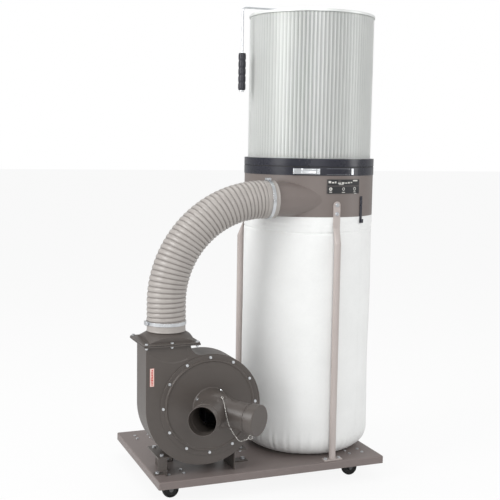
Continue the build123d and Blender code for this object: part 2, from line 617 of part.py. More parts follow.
cap_direction = branch_direction[1]
port_end = split + cap_direction * BRANCH_LENGTH
cap_start = port_end + cap_direction * (CAP_PROUD - CAP_SKIRT)
cap = rod(cap_start, cap_direction, CAP_R, CAP_SKIRT + 1.5)
cap = fillet(cap.edges().filter_by(GeomType.CIRCLE).sort_by(Axis.Y)[0], 4)
cap -= rod(cap_start - cap_direction, cap_direction, CAP_R - 1.5, CAP_SKIRT + 1)
cap_side = Vector(-cos(radians(BRANCH_ANGLE)), -sin(radians(BRANCH_ANGLE)), 0)
lug_direction = cap_side + Vector(0, 0, -sqrt(3))
lug_direction = (lug_direction - cap_direction * lug_direction.dot(cap_direction)).normalized()
cap += rod(cap_start + cap_direction * 20 + lug_direction * (CAP_R - 1), lug_direction, 2.2, 5)
nodes["inlet_cap"] = [cap]

# ---- outlet flange, hood, duct hose ---------------------------------------------------------

gasket_z = FLANGE_Z + FLANGE_SHEET
gasket = block(*FLANGE_BOX, gasket_z, gasket_z + GASKET)
gasket -= block(*NECK_BOX, gasket_z - 1, gasket_z + GASKET + 1)
nodes["outlet_gasket"] = [drill(gasket, flange_bolts, UP, 3, 30)]
hood_z = gasket_z + GASKET
hood_top = hood_z + FLANGE_SHEET + HOOD_RISE


def hood_shell(wall):
    """Cone under the spigot, trimmed by four upright walls; all smaller by the wall."""
    cone = Cone(HOOD_FOOT_R - wall, SPIGOT_R - wall, HOOD_RISE, align=CENTRED_LOW)
    trim = Box(HOOD_LENGTH - 2 * wall, HOOD_WIDTH - 2 * wall, HOOD_RISE, align=CENTRED_LOW)
    return Pos(HOSE_X, HOSE_Y, hood_z + FLANGE_SHEET) * (cone & trim)


hood = block(*FLANGE_BOX, hood_z, hood_z + FLANGE_SHEET)
hood = fillet(hood.edges().filter_by(Axis.Z), 9)
hood += hood_shell(0)
hood += upright(SPIGOT_R, hood_top, CLAMP_LOWER_Z + 24, HOSE_X, HOSE_Y)
hood -= hood_shell(SPIGOT_SHEET)
hood -= block(HOSE_X - HOOD_LENGTH / 2 + SPIGOT_SHEET + 1, NECK_BOX[1],
              HOSE_Y - HOOD_WIDTH / 2 + SPIGOT_SHEET + 1, NECK_BOX[3], hood_z - 1, hood_z + FLANGE_SHEET + 1)
hood -= upright(SPIGOT_R - SPIGOT_SHEET, hood_top - 1, CLAMP_LOWER_Z + 25, HOSE_X, HOSE_Y)
nodes["outlet_hood"] = [drill(hood, flange_bolts, UP, 3, 30)]
nodes["outlet_bolts"] = [bolt(hole, UP, 3, 2 * FLANGE_SHEET + GASKET) for hole in flange_bolts]

hose_path = FilletPolyline((HOSE_X, HOSE_Y, HOSE_FOOT_Z), (HOSE_X, HOSE_Y, HOSE_TOP_Z),
                           (HOSE_END_X, HOSE_Y, HOSE_TOP_Z), radius=HOSE_BEND_R)
hose_start = Plane(origin=(HOSE_X, HOSE_Y, HOSE_FOOT_Z), z_dir=UP)
nodes["duct_hose"] = [sweep(hose_start * (Circle(HOSE_R) - Circle(HOSE_BORE_R)), hose_path)]


def hose_clamp(centre, direction, screw):
    """Band round the hose with a worm-screw housing on one side."""
    middle = Vector(*centre)
    axis = Vector(*direction)
    side = Vector(*screw)
    start = middle - axis * CLAMP_WIDTH / 2
    band = rod(start, axis, HOSE_R + 1.6, CLAMP_WIDTH)
    across = axis.cross(side)
    seat = Plane(origin=middle + side * (HOSE_R + 4.5), x_dir=across, z_dir=side)
    band += seat * Box(24, CLAMP_WIDTH + 2, 8)
    head = middle + side * (HOSE_R + 5.5) + across * 12
    band += rod(head, across, 4.5, 9)
    return band - rod(middle - axis * CLAMP_WIDTH, axis, HOSE_R + 0.1, 2 * CLAMP_WIDTH)


nodes["hose_clamp_lower"] = [hose_clamp((HOSE_X, HOSE_Y, CLAMP_LOWER_Z), UP, (-1, 0, 0))]
nodes["hose_clamp_upper"] = [hose_clamp((CLAMP_UPPER_X, HOSE_Y, HOSE_TOP_Z), (1, 0, 0), UP)]

# ---- separator drum, legs, bag --------------------------------------------------------------

PIPE_START = -20
drum_bore = upright(DRUM_R - DRUM_SHEET, DRUM_BOTTOM - 1, DRUM_TOP + 1)
drum = ring(DRUM_R, DRUM_R - DRUM_SHEET, DRUM_BOTTOM, DRUM_TOP)
drum += rod((PIPE_START, HOSE_Y, HOSE_TOP_Z), (1, 0, 0), INLET_PIPE_R, TOWER_X - PIPE_START)
drum -= rod((PIPE_START - 1, HOSE_Y, HOSE_TOP_Z), (1, 0, 0), INLET_PIPE_R - DRUM_SHEET,
            TOWER_X - PIPE_START + 1)
drum -= drum_bore

LEG_PIPE_TOP = 907
LEG_WALL = 1.5
LEG_BOLT_R = 3.5
STRAP_INNER_R = DRUM_R + 0.4
STRAP_BOTTOM = 965
STRAP_TOP = 1061
STRAP_BOLTS_Z = (1015, 1048)
FOOT_LENGTH = 76
FOOT_WIDTH = 30
FOOT_THICK = 4
FOOT_BOLT_REACH = 27
FOOT_TURNS = {"front": 0, "left": LEG_ANGLES["left"] + 90, "right": 90}


def support_leg(angle, foot_turn):
    """Pipe on a foot plate, flattened at the top into a strap with a round end."""
    level = tower_face(angle, STRAP_INNER_R, 0).x_dir
    pipe_end = Plane(origin=around(LEG_CIRCLE_R, angle, LEG_PIPE_TOP), x_dir=level, z_dir=UP)
    strap_end = Plane(origin=around(STRAP_INNER_R + STRAP_SHEET / 2, angle, STRAP_BOTTOM), x_dir=level,
                      z_dir=UP)
    leg = loft([pipe_end * Circle(LEG_R), strap_end * SlotOverall(STRAP_WIDTH, STRAP_SHEET)])
    leg += ring(LEG_R, LEG_R - LEG_WALL, PLATE_TOP + FOOT_THICK, LEG_PIPE_TOP,
                *around(LEG_CIRCLE_R, angle, 0)[:2])
    straight = STRAP_TOP - STRAP_BOTTOM - STRAP_WIDTH / 2
    outline = Pos(0, straight / 2) * Rectangle(STRAP_WIDTH, straight)
    outline += Pos(0, straight) * Circle(STRAP_WIDTH / 2)
    leg += tower_face(angle, STRAP_INNER_R, STRAP_BOTTOM) * extrude(outline, STRAP_SHEET)
    foot = extrude(RectangleRounded(FOOT_LENGTH, FOOT_WIDTH, 6), FOOT_THICK)
    return leg + Pos(*around(LEG_CIRCLE_R, angle, PLATE_TOP)) * (Rot(0, 0, foot_turn) * foot)


leg_bolts = []
for name, angle in LEG_ANGLES.items():
    foot_turn = FOOT_TURNS[name]
    foot_top = Vector(*around(LEG_CIRCLE_R, angle, PLATE_TOP + FOOT_THICK))
    reach = Vector(FOOT_BOLT_REACH, 0, 0).rotate(Axis.Z, foot_turn)
    foot_points = [tuple(foot_top - reach), tuple(foot_top + reach)]
    strap_points = [around(STRAP_INNER_R + STRAP_SHEET, angle, z) for z in STRAP_BOLTS_Z]
    leg = drill(support_leg(angle, foot_turn), foot_points, UP, LEG_BOLT_R)
    nodes[f"support_leg_{name}"] = [drill(leg, strap_points, outwards(angle), LEG_BOLT_R)]
    drum = drill(drum, strap_points, outwards(angle), LEG_BOLT_R)
    base_plate = drill(base_plate, foot_points, UP, LEG_BOLT_R)
    leg_bolts += [bolt(point, UP, LEG_BOLT_R, FOOT_THICK + PLATE_SHEET) for point in foot_points]
    leg_bolts += [bolt(point, outwards(angle), LEG_BOLT_R, STRAP_SHEET + DRUM_SHEET, nut=False)
                  for point in strap_points]
nodes["leg_bolts"] = leg_bolts

# Rating plate and bag hooks, both riveted on the drum.
nodes["rating_plate"] = [sector(DRUM_R + 1.2, DRUM_R, 1088, 1143, -99.5, -66)]
HOOK_ANGLES = (-63, 57, 177)
HOOK_HALF = degrees(7 / DRUM_R)
HOOK_BACK = DRUM_R + 1.1
HOOK_FOOT = DRUM_BOTTOM - 24
hooks = []
for angle in HOOK_ANGLES:
    edges = (angle - HOOK_HALF, angle + HOOK_HALF)
    hook = sector(HOOK_BACK + 1.5, HOOK_BACK, HOOK_FOOT + 2, 1078, *edges)
    hook += sector(HOOK_BACK + 8, HOOK_BACK, HOOK_FOOT, HOOK_FOOT + 3, *edges)
    hook += sector(HOOK_BACK + 8, HOOK_BACK + 6.5, HOOK_FOOT + 2, HOOK_FOOT + 14, *edges)
    for z in (1045, 1068):
        hook += rod(around(DRUM_R, angle, z), outwards(angle), 3, 4.2)
    hooks.append(hook)
nodes["bag_hooks"] = hooks
nodes["separator_drum"] = [drum]

# The bag is one sewn shell of revolution: floor, rounded bottom edge, wall, and a hem in the drum.
HEM_TOP = DRUM_BOTTOM + 42
HEM_R = DRUM_R - DRUM_SHEET - 0.6
CORNER_R = BAG_R - BAG_CORNER
CORNER_Z = PLATE_TOP + BAG_CORNER
inner_r = BAG_R - BAG_CLOTH


def bag_corner(radius):
    """Quarter arc of the rounded bottom edge, from the floor up to the wall."""
    slant = radius * sin(radians(45))
    return ThreePointArc((CORNER_R, 0, CORNER_Z - radius), (CORNER_R + slant, 0, CORNER_Z - slant),
                         (CORNER_R + radius, 0, CORNER_Z))


wall_points = [
    (BAG_R, CORNER_Z), (BAG_R, BAG_SEAM_Z - 8), (BAG_R - 2.4, BAG_SEAM_Z), (BAG_R - 1.4, BAG_SEAM_Z + 8),
    (BAG_R - 1.4, DRUM_BOTTOM - 10), (HEM_R, DRUM_BOTTOM - 0.6), (HEM_R, HEM_TOP),
    (HEM_R - BAG_CLOTH, HEM_TOP), (HEM_R - BAG_CLOTH, DRUM_BOTTOM - 3),
    (inner_r - BAG_CLOTH, DRUM_BOTTOM - 12), (inner_r - BAG_CLOTH, BAG_SEAM_Z - 8),
    (inner_r, BAG_SEAM_Z - 30), (inner_r, CORNER_Z)]
floor_top = PLATE_TOP + BAG_CLOTH
floor_points = [(CORNER_R, PLATE_TOP), (0, PLATE_TOP), (0, floor_top), (CORNER_R, floor_top)]
bag_outline = [Polyline(*[(radius, 0, z) for radius, z in points])
               for points in (wall_points, floor_points)]
bag_outline += [bag_corner(BAG_CORNER), bag_corner(BAG_CORNER - BAG_CLOTH)]
nodes["dust_bag"] = [Pos(TOWER_X, TOWER_Y, 0) * revolve(make_face(Curve() + bag_outline), Axis.Z)]
band_r = HEM_R - BAG_CLOTH - 0.1
nodes["bag_band"] = [ring(band_r, band_r - 1.9, DRUM_BOTTOM + 10, DRUM_BOTTOM + 34)]

# ---- clamp belt and its lever ---------------------------------------------------------------

LEVER_START = -127
LEVER_END = -106
PIVOT_R = 2
belt_low = DRUM_TOP - BELT_WIDTH
lever_z = (belt_low + 5, DRUM_TOP - 5)
pivot = around(DRUM_R + 8, LEVER_START, 0)
belt = ring(DRUM_R + 1.5, DRUM_R + 0.1, belt_low, DRUM_TOP)
belt += sector(DRUM_R + 2.9, DRUM_R + 1.4, belt_low + 2, DRUM_TOP - 2, -107, -74)
for z0, z1 in ((belt_low + 1, lever_z[0] - 0.6), (lever_z[1] + 0.6, DRUM_TOP - 1)):
    belt += sector(DRUM_R + 11.5, DRUM_R + 1.4, z0, z1, LEVER_START - 1, LEVER_START + 1)
belt += upright(PIVOT_R, belt_low + 1, DRUM_TOP - 1, *pivot[:2])
nodes["belt_clamp"] = [belt]
lever = sector(DRUM_R + 9, DRUM_R + 6.5, *lever_z, LEVER_START + 0.4, LEVER_END)
lever += sector(DRUM_R + 12, DRUM_R + 6.5, *lever_z, LEVER_END - 1, LEVER_END)
lever += upright(4.2, *lever_z, *pivot[:2])
lever -= upright(PIVOT_R + RUNNING_GAP, belt_low, DRUM_TOP, *pivot[:2])
nodes["belt_lever"] = [lever]

# ---- cartridge filter -----------------------------------------------------------------------

BEATER_R = 8
LIP_R = DRUM_R - DRUM_SHEET - 1.5
SPIDER_R = 192
MEDIA_LOW = RIM_BOTTOM + 2.2
nodes["filter_seal"] = [ring(DRUM_R, DRUM_R - DRUM_SHEET - 1.2, DRUM_TOP, RIM_BOTTOM)]
rim = ring(RIM_R, RIM_R - 2, RIM_BOTTOM, RIM_TOP) + ring(RIM_R, SPIDER_R - 4, RIM_BOTTOM, RIM_BOTTOM + 2)
rim += ring(LIP_R, LIP_R - 2, RIM_BOTTOM - 20, RIM_BOTTOM)
rim += ring(RIM_R, MESH_R + 0.2, RIM_TOP - 2, RIM_TOP)
for turn in (0, 90):
    rim += Pos(TOWER_X, TOWER_Y, RIM_BOTTOM + 1) * (Rot(0, 0, turn) * Box(2 * SPIDER_R, 24, 2))
rim += upright(20, RIM_BOTTOM, RIM_BOTTOM + 10)
nodes["filter_rim"] = [rim - upright(BEATER_R + RUNNING_GAP, RIM_BOTTOM - 1, RIM_BOTTOM + 11)]
nodes["filter_mesh"] = [ring(MESH_R, MESH_R - 1.5, MEDIA_LOW, FILTER_TOP)]


def pleat_face(inset):
    """Star outline of the folded paper, all radii smaller by the inset."""
    crest = MESH_R - 3 - inset
    corners = [around(crest - (i % 2) * PLEAT_DEPTH, i * 180 / PLEATS, 0, 0, 0) for i in range(2 * PLEATS)]
    return make_face(Polyline(*corners, close=True))


folded = pleat_face(0) - pleat_face(PLEAT_SHIFT)
nodes["filter_media"] = [Pos(TOWER_X, TOWER_Y, MEDIA_LOW) * extrude(folded, FILTER_TOP - 0.2 - MEDIA_LOW)]
BOSS_SEAT = CRANK_Z - 8
cap_profile = [
    (MESH_R + 3, 0), (MESH_R + 3, CAP_RIM - 2), (MESH_R + 1, CAP_RIM), (MESH_R - 8, CAP_RIM),
    (MESH_R - 12, 3), (40, 6), (34, BOSS_SEAT - FILTER_TOP), (0, BOSS_SEAT - FILTER_TOP), (0, 0)]
filter_cap = turned([(radius, FILTER_TOP + rise) for radius, rise in cap_profile])
nodes["filter_cap"] = [filter_cap - upright(BEATER_R + RUNNING_GAP, FILTER_TOP - 1, CRANK_Z)]

# Crank: one bent rod through the boss of the beater shaft, whose two flaps brush the pleats.
BOSS_R = 14
ARM_REACH = 150
FLAP_REACH = 182
shaft_low = RIM_BOTTOM - 4
grip_x = TOWER_X - CRANK_REACH
crank_start = (TOWER_X + 18, TOWER_Y, CRANK_Z)
crank_path = FilletPolyline(crank_start, (grip_x, TOWER_Y, CRANK_Z), (grip_x, TOWER_Y, GRIP_BOTTOM - 4),
                            radius=14)
crank = sweep(Plane(origin=crank_start, z_dir=(-1, 0, 0)) * Circle(CRANK_R), crank_path)
nodes["crank"] = [crank + upright(8, GRIP_BOTTOM - 6, GRIP_BOTTOM - 1, grip_x, TOWER_Y)]
beater = upright(BOSS_R, BOSS_SEAT + 0.5, CRANK_Z + 8)
beater += upright(BEATER_R, shaft_low, CRANK_Z)
beater += upright(BOSS_R, shaft_low - 4, shaft_low)
beater -= rod((TOWER_X + 15, TOWER_Y, CRANK_Z), (-1, 0, 0), CRANK_R, 30)
for z in (RIM_BOTTOM + 50, FILTER_TOP - 50):
    beater += Pos(TOWER_X, TOWER_Y, z) * Box(2 * ARM_REACH, 10, 4)
for side in (-1, 1):
    flap_x = sorted((TOWER_X + side * (ARM_REACH - 5), TOWER_X + side * FLAP_REACH))
    beater += block(*flap_x, TOWER_Y - 1.5, TOWER_Y + 1.5, RIM_BOTTOM + 30, FILTER_TOP - 30)
nodes["beater_shaft"] = [beater]

GRIP_RIBS = 5
rib = (GRIP_TOP - GRIP_BOTTOM) / GRIP_RIBS
grip_profile = [(CRANK_R + RUNNING_GAP, GRIP_BOTTOM)]
for i in range(GRIP_RIBS):
    foot = GRIP_BOTTOM + i * rib
    grip_profile += [(GRIP_R - GRIP_GROOVE, foot), (GRIP_R, foot + rib * 0.25), (GRIP_R, foot + rib * 0.75)]
grip_profile += [(GRIP_R - GRIP_GROOVE, GRIP_TOP), (CRANK_R + RUNNING_GAP, GRIP_TOP)]
nodes["crank_grip"] = [turned(grip_profile, grip_x, TOWER_Y)]

nodes["base_plate"] = [base_plate]

# ---- cap chain --------------------------------------------------------------------------------

# It is fixed to an eye on the inlet piece and hangs in a bight to the edge of the cap.
CHAIN_R = 2
chain_route = [Vector(*point) for point in (
    (-245, -388, 399), (-246, -412, 385), (-250, -437, 363), (-248, -448, 338), (-237, -450, 306),
    (-217, -459, 273), (-208, -468, 263), (-196, -481, 271), (-179.5, -495.6, 282.6))]
runs = [end - start for start, end in zip(chain_route, chain_route[1:])]
radii = [0.45 * min(run.length, after.length) / tan(radians(run.get_angle(after) / 2))
         for run, after in zip(runs, runs[1:])]
chain_start = Plane(origin=chain_route[0], z_dir=runs[0])
nodes["cap_chain"] = [sweep(chain_start * Circle(CHAIN_R), FilletPolyline(*chain_route, radius=radii))]

# ---- export ---------------------------------------------------------------------------------

nodes = {name: [solid for piece in group for solid in piece.solids()] for name, group in nodes.items()}
whole = Compound([solid for group in nodes.values() for solid in group]).bounding_box()
SHIFT = Vector(-(whole.min.X + whole.max.X) / 2, -(whole.min.Y + whole.max.Y) / 2, -whole.min.Z)

if __name__ == "__main__":
    os.makedirs("parts", exist_ok=True)
    for name, group in nodes.items():
        moved = [Pos(*SHIFT) * solid for solid in group]
        export_step(moved[0] if len(moved) == 1 else Compound(moved), f"parts/{name}.step")
    print(f"{len(nodes)} nodes, shift {SHIFT}")
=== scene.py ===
from math import cos, pi, radians, sin

import bmesh
import bpy
import numpy as np
from mathutils import Matrix, Vector


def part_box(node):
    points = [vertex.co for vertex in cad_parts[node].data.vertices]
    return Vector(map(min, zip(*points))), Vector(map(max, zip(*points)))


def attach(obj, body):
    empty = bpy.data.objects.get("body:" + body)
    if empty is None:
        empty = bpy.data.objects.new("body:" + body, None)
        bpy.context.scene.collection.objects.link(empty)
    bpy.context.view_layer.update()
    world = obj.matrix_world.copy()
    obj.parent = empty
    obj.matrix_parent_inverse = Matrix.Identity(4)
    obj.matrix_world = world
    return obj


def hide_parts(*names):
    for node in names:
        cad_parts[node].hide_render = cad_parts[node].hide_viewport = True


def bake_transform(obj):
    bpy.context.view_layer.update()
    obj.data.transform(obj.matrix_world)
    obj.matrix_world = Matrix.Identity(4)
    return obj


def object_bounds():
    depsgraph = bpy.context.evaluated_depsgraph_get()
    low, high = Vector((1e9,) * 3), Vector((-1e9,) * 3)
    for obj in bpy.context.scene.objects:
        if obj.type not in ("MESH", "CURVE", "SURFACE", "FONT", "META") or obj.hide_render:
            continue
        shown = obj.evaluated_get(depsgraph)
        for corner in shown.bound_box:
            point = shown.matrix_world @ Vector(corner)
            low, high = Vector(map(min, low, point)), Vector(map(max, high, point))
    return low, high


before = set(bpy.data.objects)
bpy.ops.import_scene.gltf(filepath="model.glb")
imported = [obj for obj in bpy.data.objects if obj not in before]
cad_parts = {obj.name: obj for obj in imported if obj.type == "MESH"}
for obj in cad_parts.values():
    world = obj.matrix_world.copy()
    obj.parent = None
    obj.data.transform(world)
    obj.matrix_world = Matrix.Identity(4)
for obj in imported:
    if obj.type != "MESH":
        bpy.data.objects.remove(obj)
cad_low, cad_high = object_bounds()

# ---- studio -------------------------------------------------------------------------------------
# The machine stands on a plain white floor in soft light: one large key lamp to the left and
# above, a weaker one to the right, and a white surround. The camera looks slightly down.
# Places are taken from the middle of the base plate and the middle of the whole machine.

scene = bpy.context.scene
scene.view_settings.view_transform = "Standard"
scene.view_settings.look = "None"

machine_centre = (cad_low + cad_high) / 2
plate_low, plate_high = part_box("base_plate")
plate_centre = Vector(((plate_low.x + plate_high.x) / 2, (plate_low.y + plate_high.y) / 2, 0))
HEADING, DOWN, ROLL = radians(21.74), radians(6.39), radians(0.92)
forward = Vector((sin(HEADING) * cos(DOWN), cos(HEADING) * cos(DOWN), -sin(DOWN)))
level = Vector((cos(HEADING), -sin(HEADING), 0))
above = level.cross(forward)
camera_x = level * cos(ROLL) + above * sin(ROLL)
camera_y = above * cos(ROLL) - level * sin(ROLL)
lens = bpy.data.cameras.new("camera")
lens.lens = 67.87
lens.sensor_width = 36
lens.clip_end = 100
camera = bpy.data.objects.new("camera", lens)
turn = Matrix((camera_x, camera_y, -forward)).transposed()
standpoint = plate_centre + Vector((-1.3345, -3.3559, 1.2639))
camera.matrix_world = Matrix.Translation(standpoint) @ turn.to_4x4()
scene.collection.objects.link(camera)
scene.camera = camera


def lamp(name, place, power, width, height):
    """Area lamp at a place relative to the middle of the machine, aimed at that middle."""
    light = bpy.data.lights.new(name, "AREA")
    light.shape = "RECTANGLE"
    light.energy, light.size, light.size_y = power, width, height
    made = bpy.data.objects.new(name, light)
    made.location = machine_centre + Vector(place)
    made.rotation_mode = "QUATERNION"
    made.rotation_quaternion = (-Vector(place)).to_track_quat("-Z", "Y")
    scene.collection.objects.link(made)


lamp("key_lamp", (-4.0, -0.9, 1.7), 120, 1.8, 2.6)
lamp("front_lamp", (-0.6, -3.8, 1.6), 42, 1.6, 2.2)
lamp("fill_lamp", (3.6, -2.0, 1.2), 34, 1.2, 2.6)
lamp("top_lamp", (0.0, 0.9, 3.2), 34, 2.4, 2.4)

surround = bpy.data.worlds.new("surround")
surround.use_nodes = True
backing = surround.node_tree
ambient = backing.nodes["Background"]
ambient.inputs["Color"].default_value = (1, 1, 1, 1)
ambient.inputs["Strength"].default_value = 0.55
seen = backing.nodes.new("ShaderNodeBackground")
seen.inputs["Color"].default_value = (1, 1, 1, 1)
ray = backing.nodes.new("ShaderNodeLightPath")
either = backing.nodes.new("ShaderNodeMixShader")
backing.links.new(ray.outputs["Is Camera Ray"], either.inputs["Fac"])
backing.links.new(ambient.outputs["Background"], either.inputs[1])
backing.links.new(seen.outputs["Background"], either.inputs[2])
backing.links.new(either.outputs["Shader"], backing.nodes["World Output"].inputs["Surface"])
scene.world = surround


def grid_mesh(name, points, close_u=False, close_v=False, flip=False):
    """Mesh from a grid of points, shaped (rows, columns, 3). Cell (i, j) joins rows i and i+1 and columns
    j and j+1; a closed direction joins its last line to its first."""
    rows, columns = points.shape[:2]
    i = np.arange(rows if close_u else rows - 1)[:, None]
    j = np.arange(columns if close_v else columns - 1)[None, :]
    i2, j2 = (i + 1) % rows, (j + 1) % columns
    ring = [i * columns + j, i * columns + j2, i2 * columns + j2, i2 * columns + j]
    quads = np.stack(ring, axis=-1).reshape(-1, 4)
    if flip:
        quads = quads[:, ::-1]
    return polygon_mesh(name, points.reshape(-1, 3), quads)


def polygon_mesh(name, points, faces):
    """Mesh from an array of points and an array of faces that all have the same number of corners."""
    mesh = bpy.data.meshes.new(name)
    count, corners = faces.shape
    mesh.vertices.add(len(points))
    mesh.vertices.foreach_set("co", np.ascontiguousarray(points, np.float32).ravel())
    mesh.loops.add(count * corners)
    mesh.loops.foreach_set("vertex_index", np.ascontiguousarray(faces, np.int32).ravel())
    mesh.polygons.add(count)
    mesh.polygons.foreach_set("loop_start", np.arange(count, dtype=np.int32) * corners)
    mesh.update(calc_edges=True)
    mesh.validate()
    return mesh


def piece(name, mesh, material, body="root", smooth=True):
    """Object for a mesh that is already in place, with its material, riding on a body if one is named."""
    made = bpy.data.objects.new(name, mesh)
    scene.collection.objects.link(made)
    mesh.materials.append(material)
    mesh.polygons.foreach_set("use_smooth", np.full(len(mesh.polygons), smooth))
    if body:
        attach(made, body)
    return made


FLOOR_REACH = 40
floor_corners = np.array([[(-1, -1, 0), (1, -1, 0)], [(-1, 1, 0), (1, 1, 0)]], float)
floor_mesh = grid_mesh("floor", floor_corners * FLOOR_REACH)
floor = bpy.data.objects.new("floor", floor_mesh)
scene.collection.objects.link(floor)
floor_white = bpy.data.materials.new("floor_white")
floor_white.use_nodes = True
tree = floor_white.node_tree
shader = tree.nodes["Principled BSDF"]
shader.inputs["Base Color"].default_value = (0.8, 0.8, 0.8, 1)
shader.inputs["Roughness"].default_value = 0.9
glow = tree.nodes.new("ShaderNodeEmission")
ray = tree.nodes.new("ShaderNodeLightPath")
share = tree.nodes.new("ShaderNodeMath")
share.operation = "MULTIPLY"
share.inputs[1].default_value = 0.9
either = tree.nodes.new("ShaderNodeMixShader")
tree.links.new(ray.outputs["Is Camera Ray"], share.inputs[0])
tree.links.new(share.outputs["Value"], either.inputs["Fac"])
tree.links.new(shader.outputs["BSDF"], either.inputs[1])
tree.links.new(glow.outputs["Emission"], either.inputs[2])
tree.links.new(either.outputs["Shader"], tree.nodes["Material Output"].inputs["Surface"])
floor_mesh.materials.append(floor_white)

# ---- base plate ---------------------------------------------------------------------------------
# Folded steel tray, powder coated in a warm grey. The coat has a fine orange peel, drifts a little in tone,
# and is lighter along its edges: wear, with a painted highlight.


def linear(red, green, blue):
    """Linear colour of a display colour whose parts run from 0 to 255: below 0.04 a straight line, above
    it a power of 2.4."""
    parts = [c / 255 for c in (red, green, blue)]
    return tuple(c / 12.92 if c <= 0.04045 else ((c + 0.055) / 1.055) ** 2.4 for c in parts) + (1.0,)


def shader_group(name, inputs, outputs):
    """Empty node group with named inputs {name: (socket type, value)} and outputs {name: socket type}."""
    tree = bpy.data.node_groups.new(name, "ShaderNodeTree")
    for key, (kind, value) in inputs.items():
        socket = tree.interface.new_socket(key, in_out="INPUT", socket_type=kind)
        if value is not None:
            socket.default_value = value
    for key, kind in outputs.items():
        tree.interface.new_socket(key, in_out="OUTPUT", socket_type=kind)
    return tree, tree.nodes.new("NodeGroupInput"), tree.nodes.new("NodeGroupOutput")


FLOAT, COLOUR, VECTOR = "NodeSocketFloat", "NodeSocketColor", "NodeSocketVector"


def math_node(tree, operation, first, second=None, third=None, clamp=False):
    """Math node whose operands are sockets or numbers; returns its result."""
    node = tree.nodes.new("ShaderNodeMath")
    node.operation, node.use_clamp = operation, clamp
    for socket, value in zip(node.inputs, (first, second, third)):
        if value is None:
            continue
        if isinstance(value, (int, float)):
            socket.default_value = value
        else:
            tree.links.new(value, socket)
    return node.outputs[0]


def noise(tree, vector, size, detail=3.0):
    """Noise whose lumps are about size across, in the units of its vector; size is a socket or a number."""
    node = tree.nodes.new("ShaderNodeTexNoise")
    node.inputs["Detail"].default_value = detail
    node.inputs["Roughness"].default_value = 0.55
    tree.links.new(vector, node.inputs["Vector"])
    if isinstance(size, (int, float)):
        node.inputs["Scale"].default_value = 1 / size
    else:
        tree.links.new(math_node(tree, "DIVIDE", 1.0, size), node.inputs["Scale"])
    return node.outputs["Fac"]


def mix(tree, factor, first, second):
    """Colour mix; factor is a socket or a number, and the colours are sockets or tuples."""
    node = tree.nodes.new("ShaderNodeMix")
    node.data_type = "RGBA"
    for socket, value in ((node.inputs[0], factor), (node.inputs[6], first), (node.inputs[7], second)):
        if hasattr(value, "links"):
            tree.links.new(value, socket)
        else:
            socket.default_value = value
    return node.outputs[2]


# Tone drift: two colours mixed by soft clouds and by specks about a twelfth their size.
drift, given, result = shader_group(
    "tone_drift",
    {"Vector": (VECTOR, None), "First": (COLOUR, None), "Second": (COLOUR, None), "Size": (FLOAT, 0.1)},
    {"Colour": COLOUR, "Mask": FLOAT})
clouds = noise(drift, given.outputs["Vector"], given.outputs["Size"])
specks = noise(drift, given.outputs["Vector"], math_node(drift, "MULTIPLY", given.outputs["Size"], 0.08), 2)
blend = math_node(drift, "MULTIPLY_ADD", clouds, 1.4, math_node(drift, "MULTIPLY", specks, 0.5))
blend = math_node(drift, "SUBTRACT", blend, 0.45, clamp=True)
drift.links.new(mix(drift, blend, given.outputs["First"], given.outputs["Second"]), result.inputs["Colour"])
drift.links.new(blend, result.inputs["Mask"])

# Peel: a height from fine rounded lumps with a finer tooth on them.
peel, given, result = shader_group(
    "peel", {"Vector": (VECTOR, None), "Size": (FLOAT, 0.002)}, {"Height": FLOAT})
lumps = noise(peel, given.outputs["Vector"], given.outputs["Size"], 1)
tooth = noise(peel, given.outputs["Vector"], math_node(peel, "MULTIPLY", given.outputs["Size"], 0.3), 1)
peel.links.new(math_node(peel, "MULTIPLY_ADD", tooth, 0.35, lumps), result.inputs["Height"])

# Soft edge: a normal that rounds sharp edges, and a mask that is 1 on them and 0 on flat faces.
soft_edge, given, result = shader_group(
    "soft_edge", {"Radius": (FLOAT, 0.002), "Vector": (VECTOR, None)}, {"Normal": VECTOR, "Mask": FLOAT})
rounding = soft_edge.nodes.new("ShaderNodeBevel")
rounding.samples = 4
geometry = soft_edge.nodes.new("ShaderNodeNewGeometry")
agreement = soft_edge.nodes.new("ShaderNodeVectorMath")
agreement.operation = "DOT_PRODUCT"
soft_edge.links.new(given.outputs["Radius"], rounding.inputs["Radius"])
soft_edge.links.new(rounding.outputs["Normal"], agreement.inputs[0])
soft_edge.links.new(geometry.outputs["Normal"], agreement.inputs[1])
parting = math_node(soft_edge, "SUBTRACT", 1.0, agreement.outputs["Value"])
edge = math_node(soft_edge, "MULTIPLY", parting, 7, clamp=True)
patches = noise(soft_edge, given.outputs["Vector"], 0.02, 4)
patches = math_node(soft_edge, "MULTIPLY", patches, 1.5, clamp=True)
soft_edge.links.new(rounding.outputs["Normal"], result.inputs["Normal"])
soft_edge.links.new(math_node(soft_edge, "MULTIPLY", edge, patches), result.inputs["Mask"])


def place_group(tree, group, **values):
    """A group placed in a material, with its inputs set to sockets or values."""
    node = tree.nodes.new("ShaderNodeGroup")
    node.node_tree = group
    for key, value in values.items():
        if hasattr(value, "links"):
            tree.links.new(value, node.inputs[key])
        else:
            node.inputs[key].default_value = value
    return node.outputs


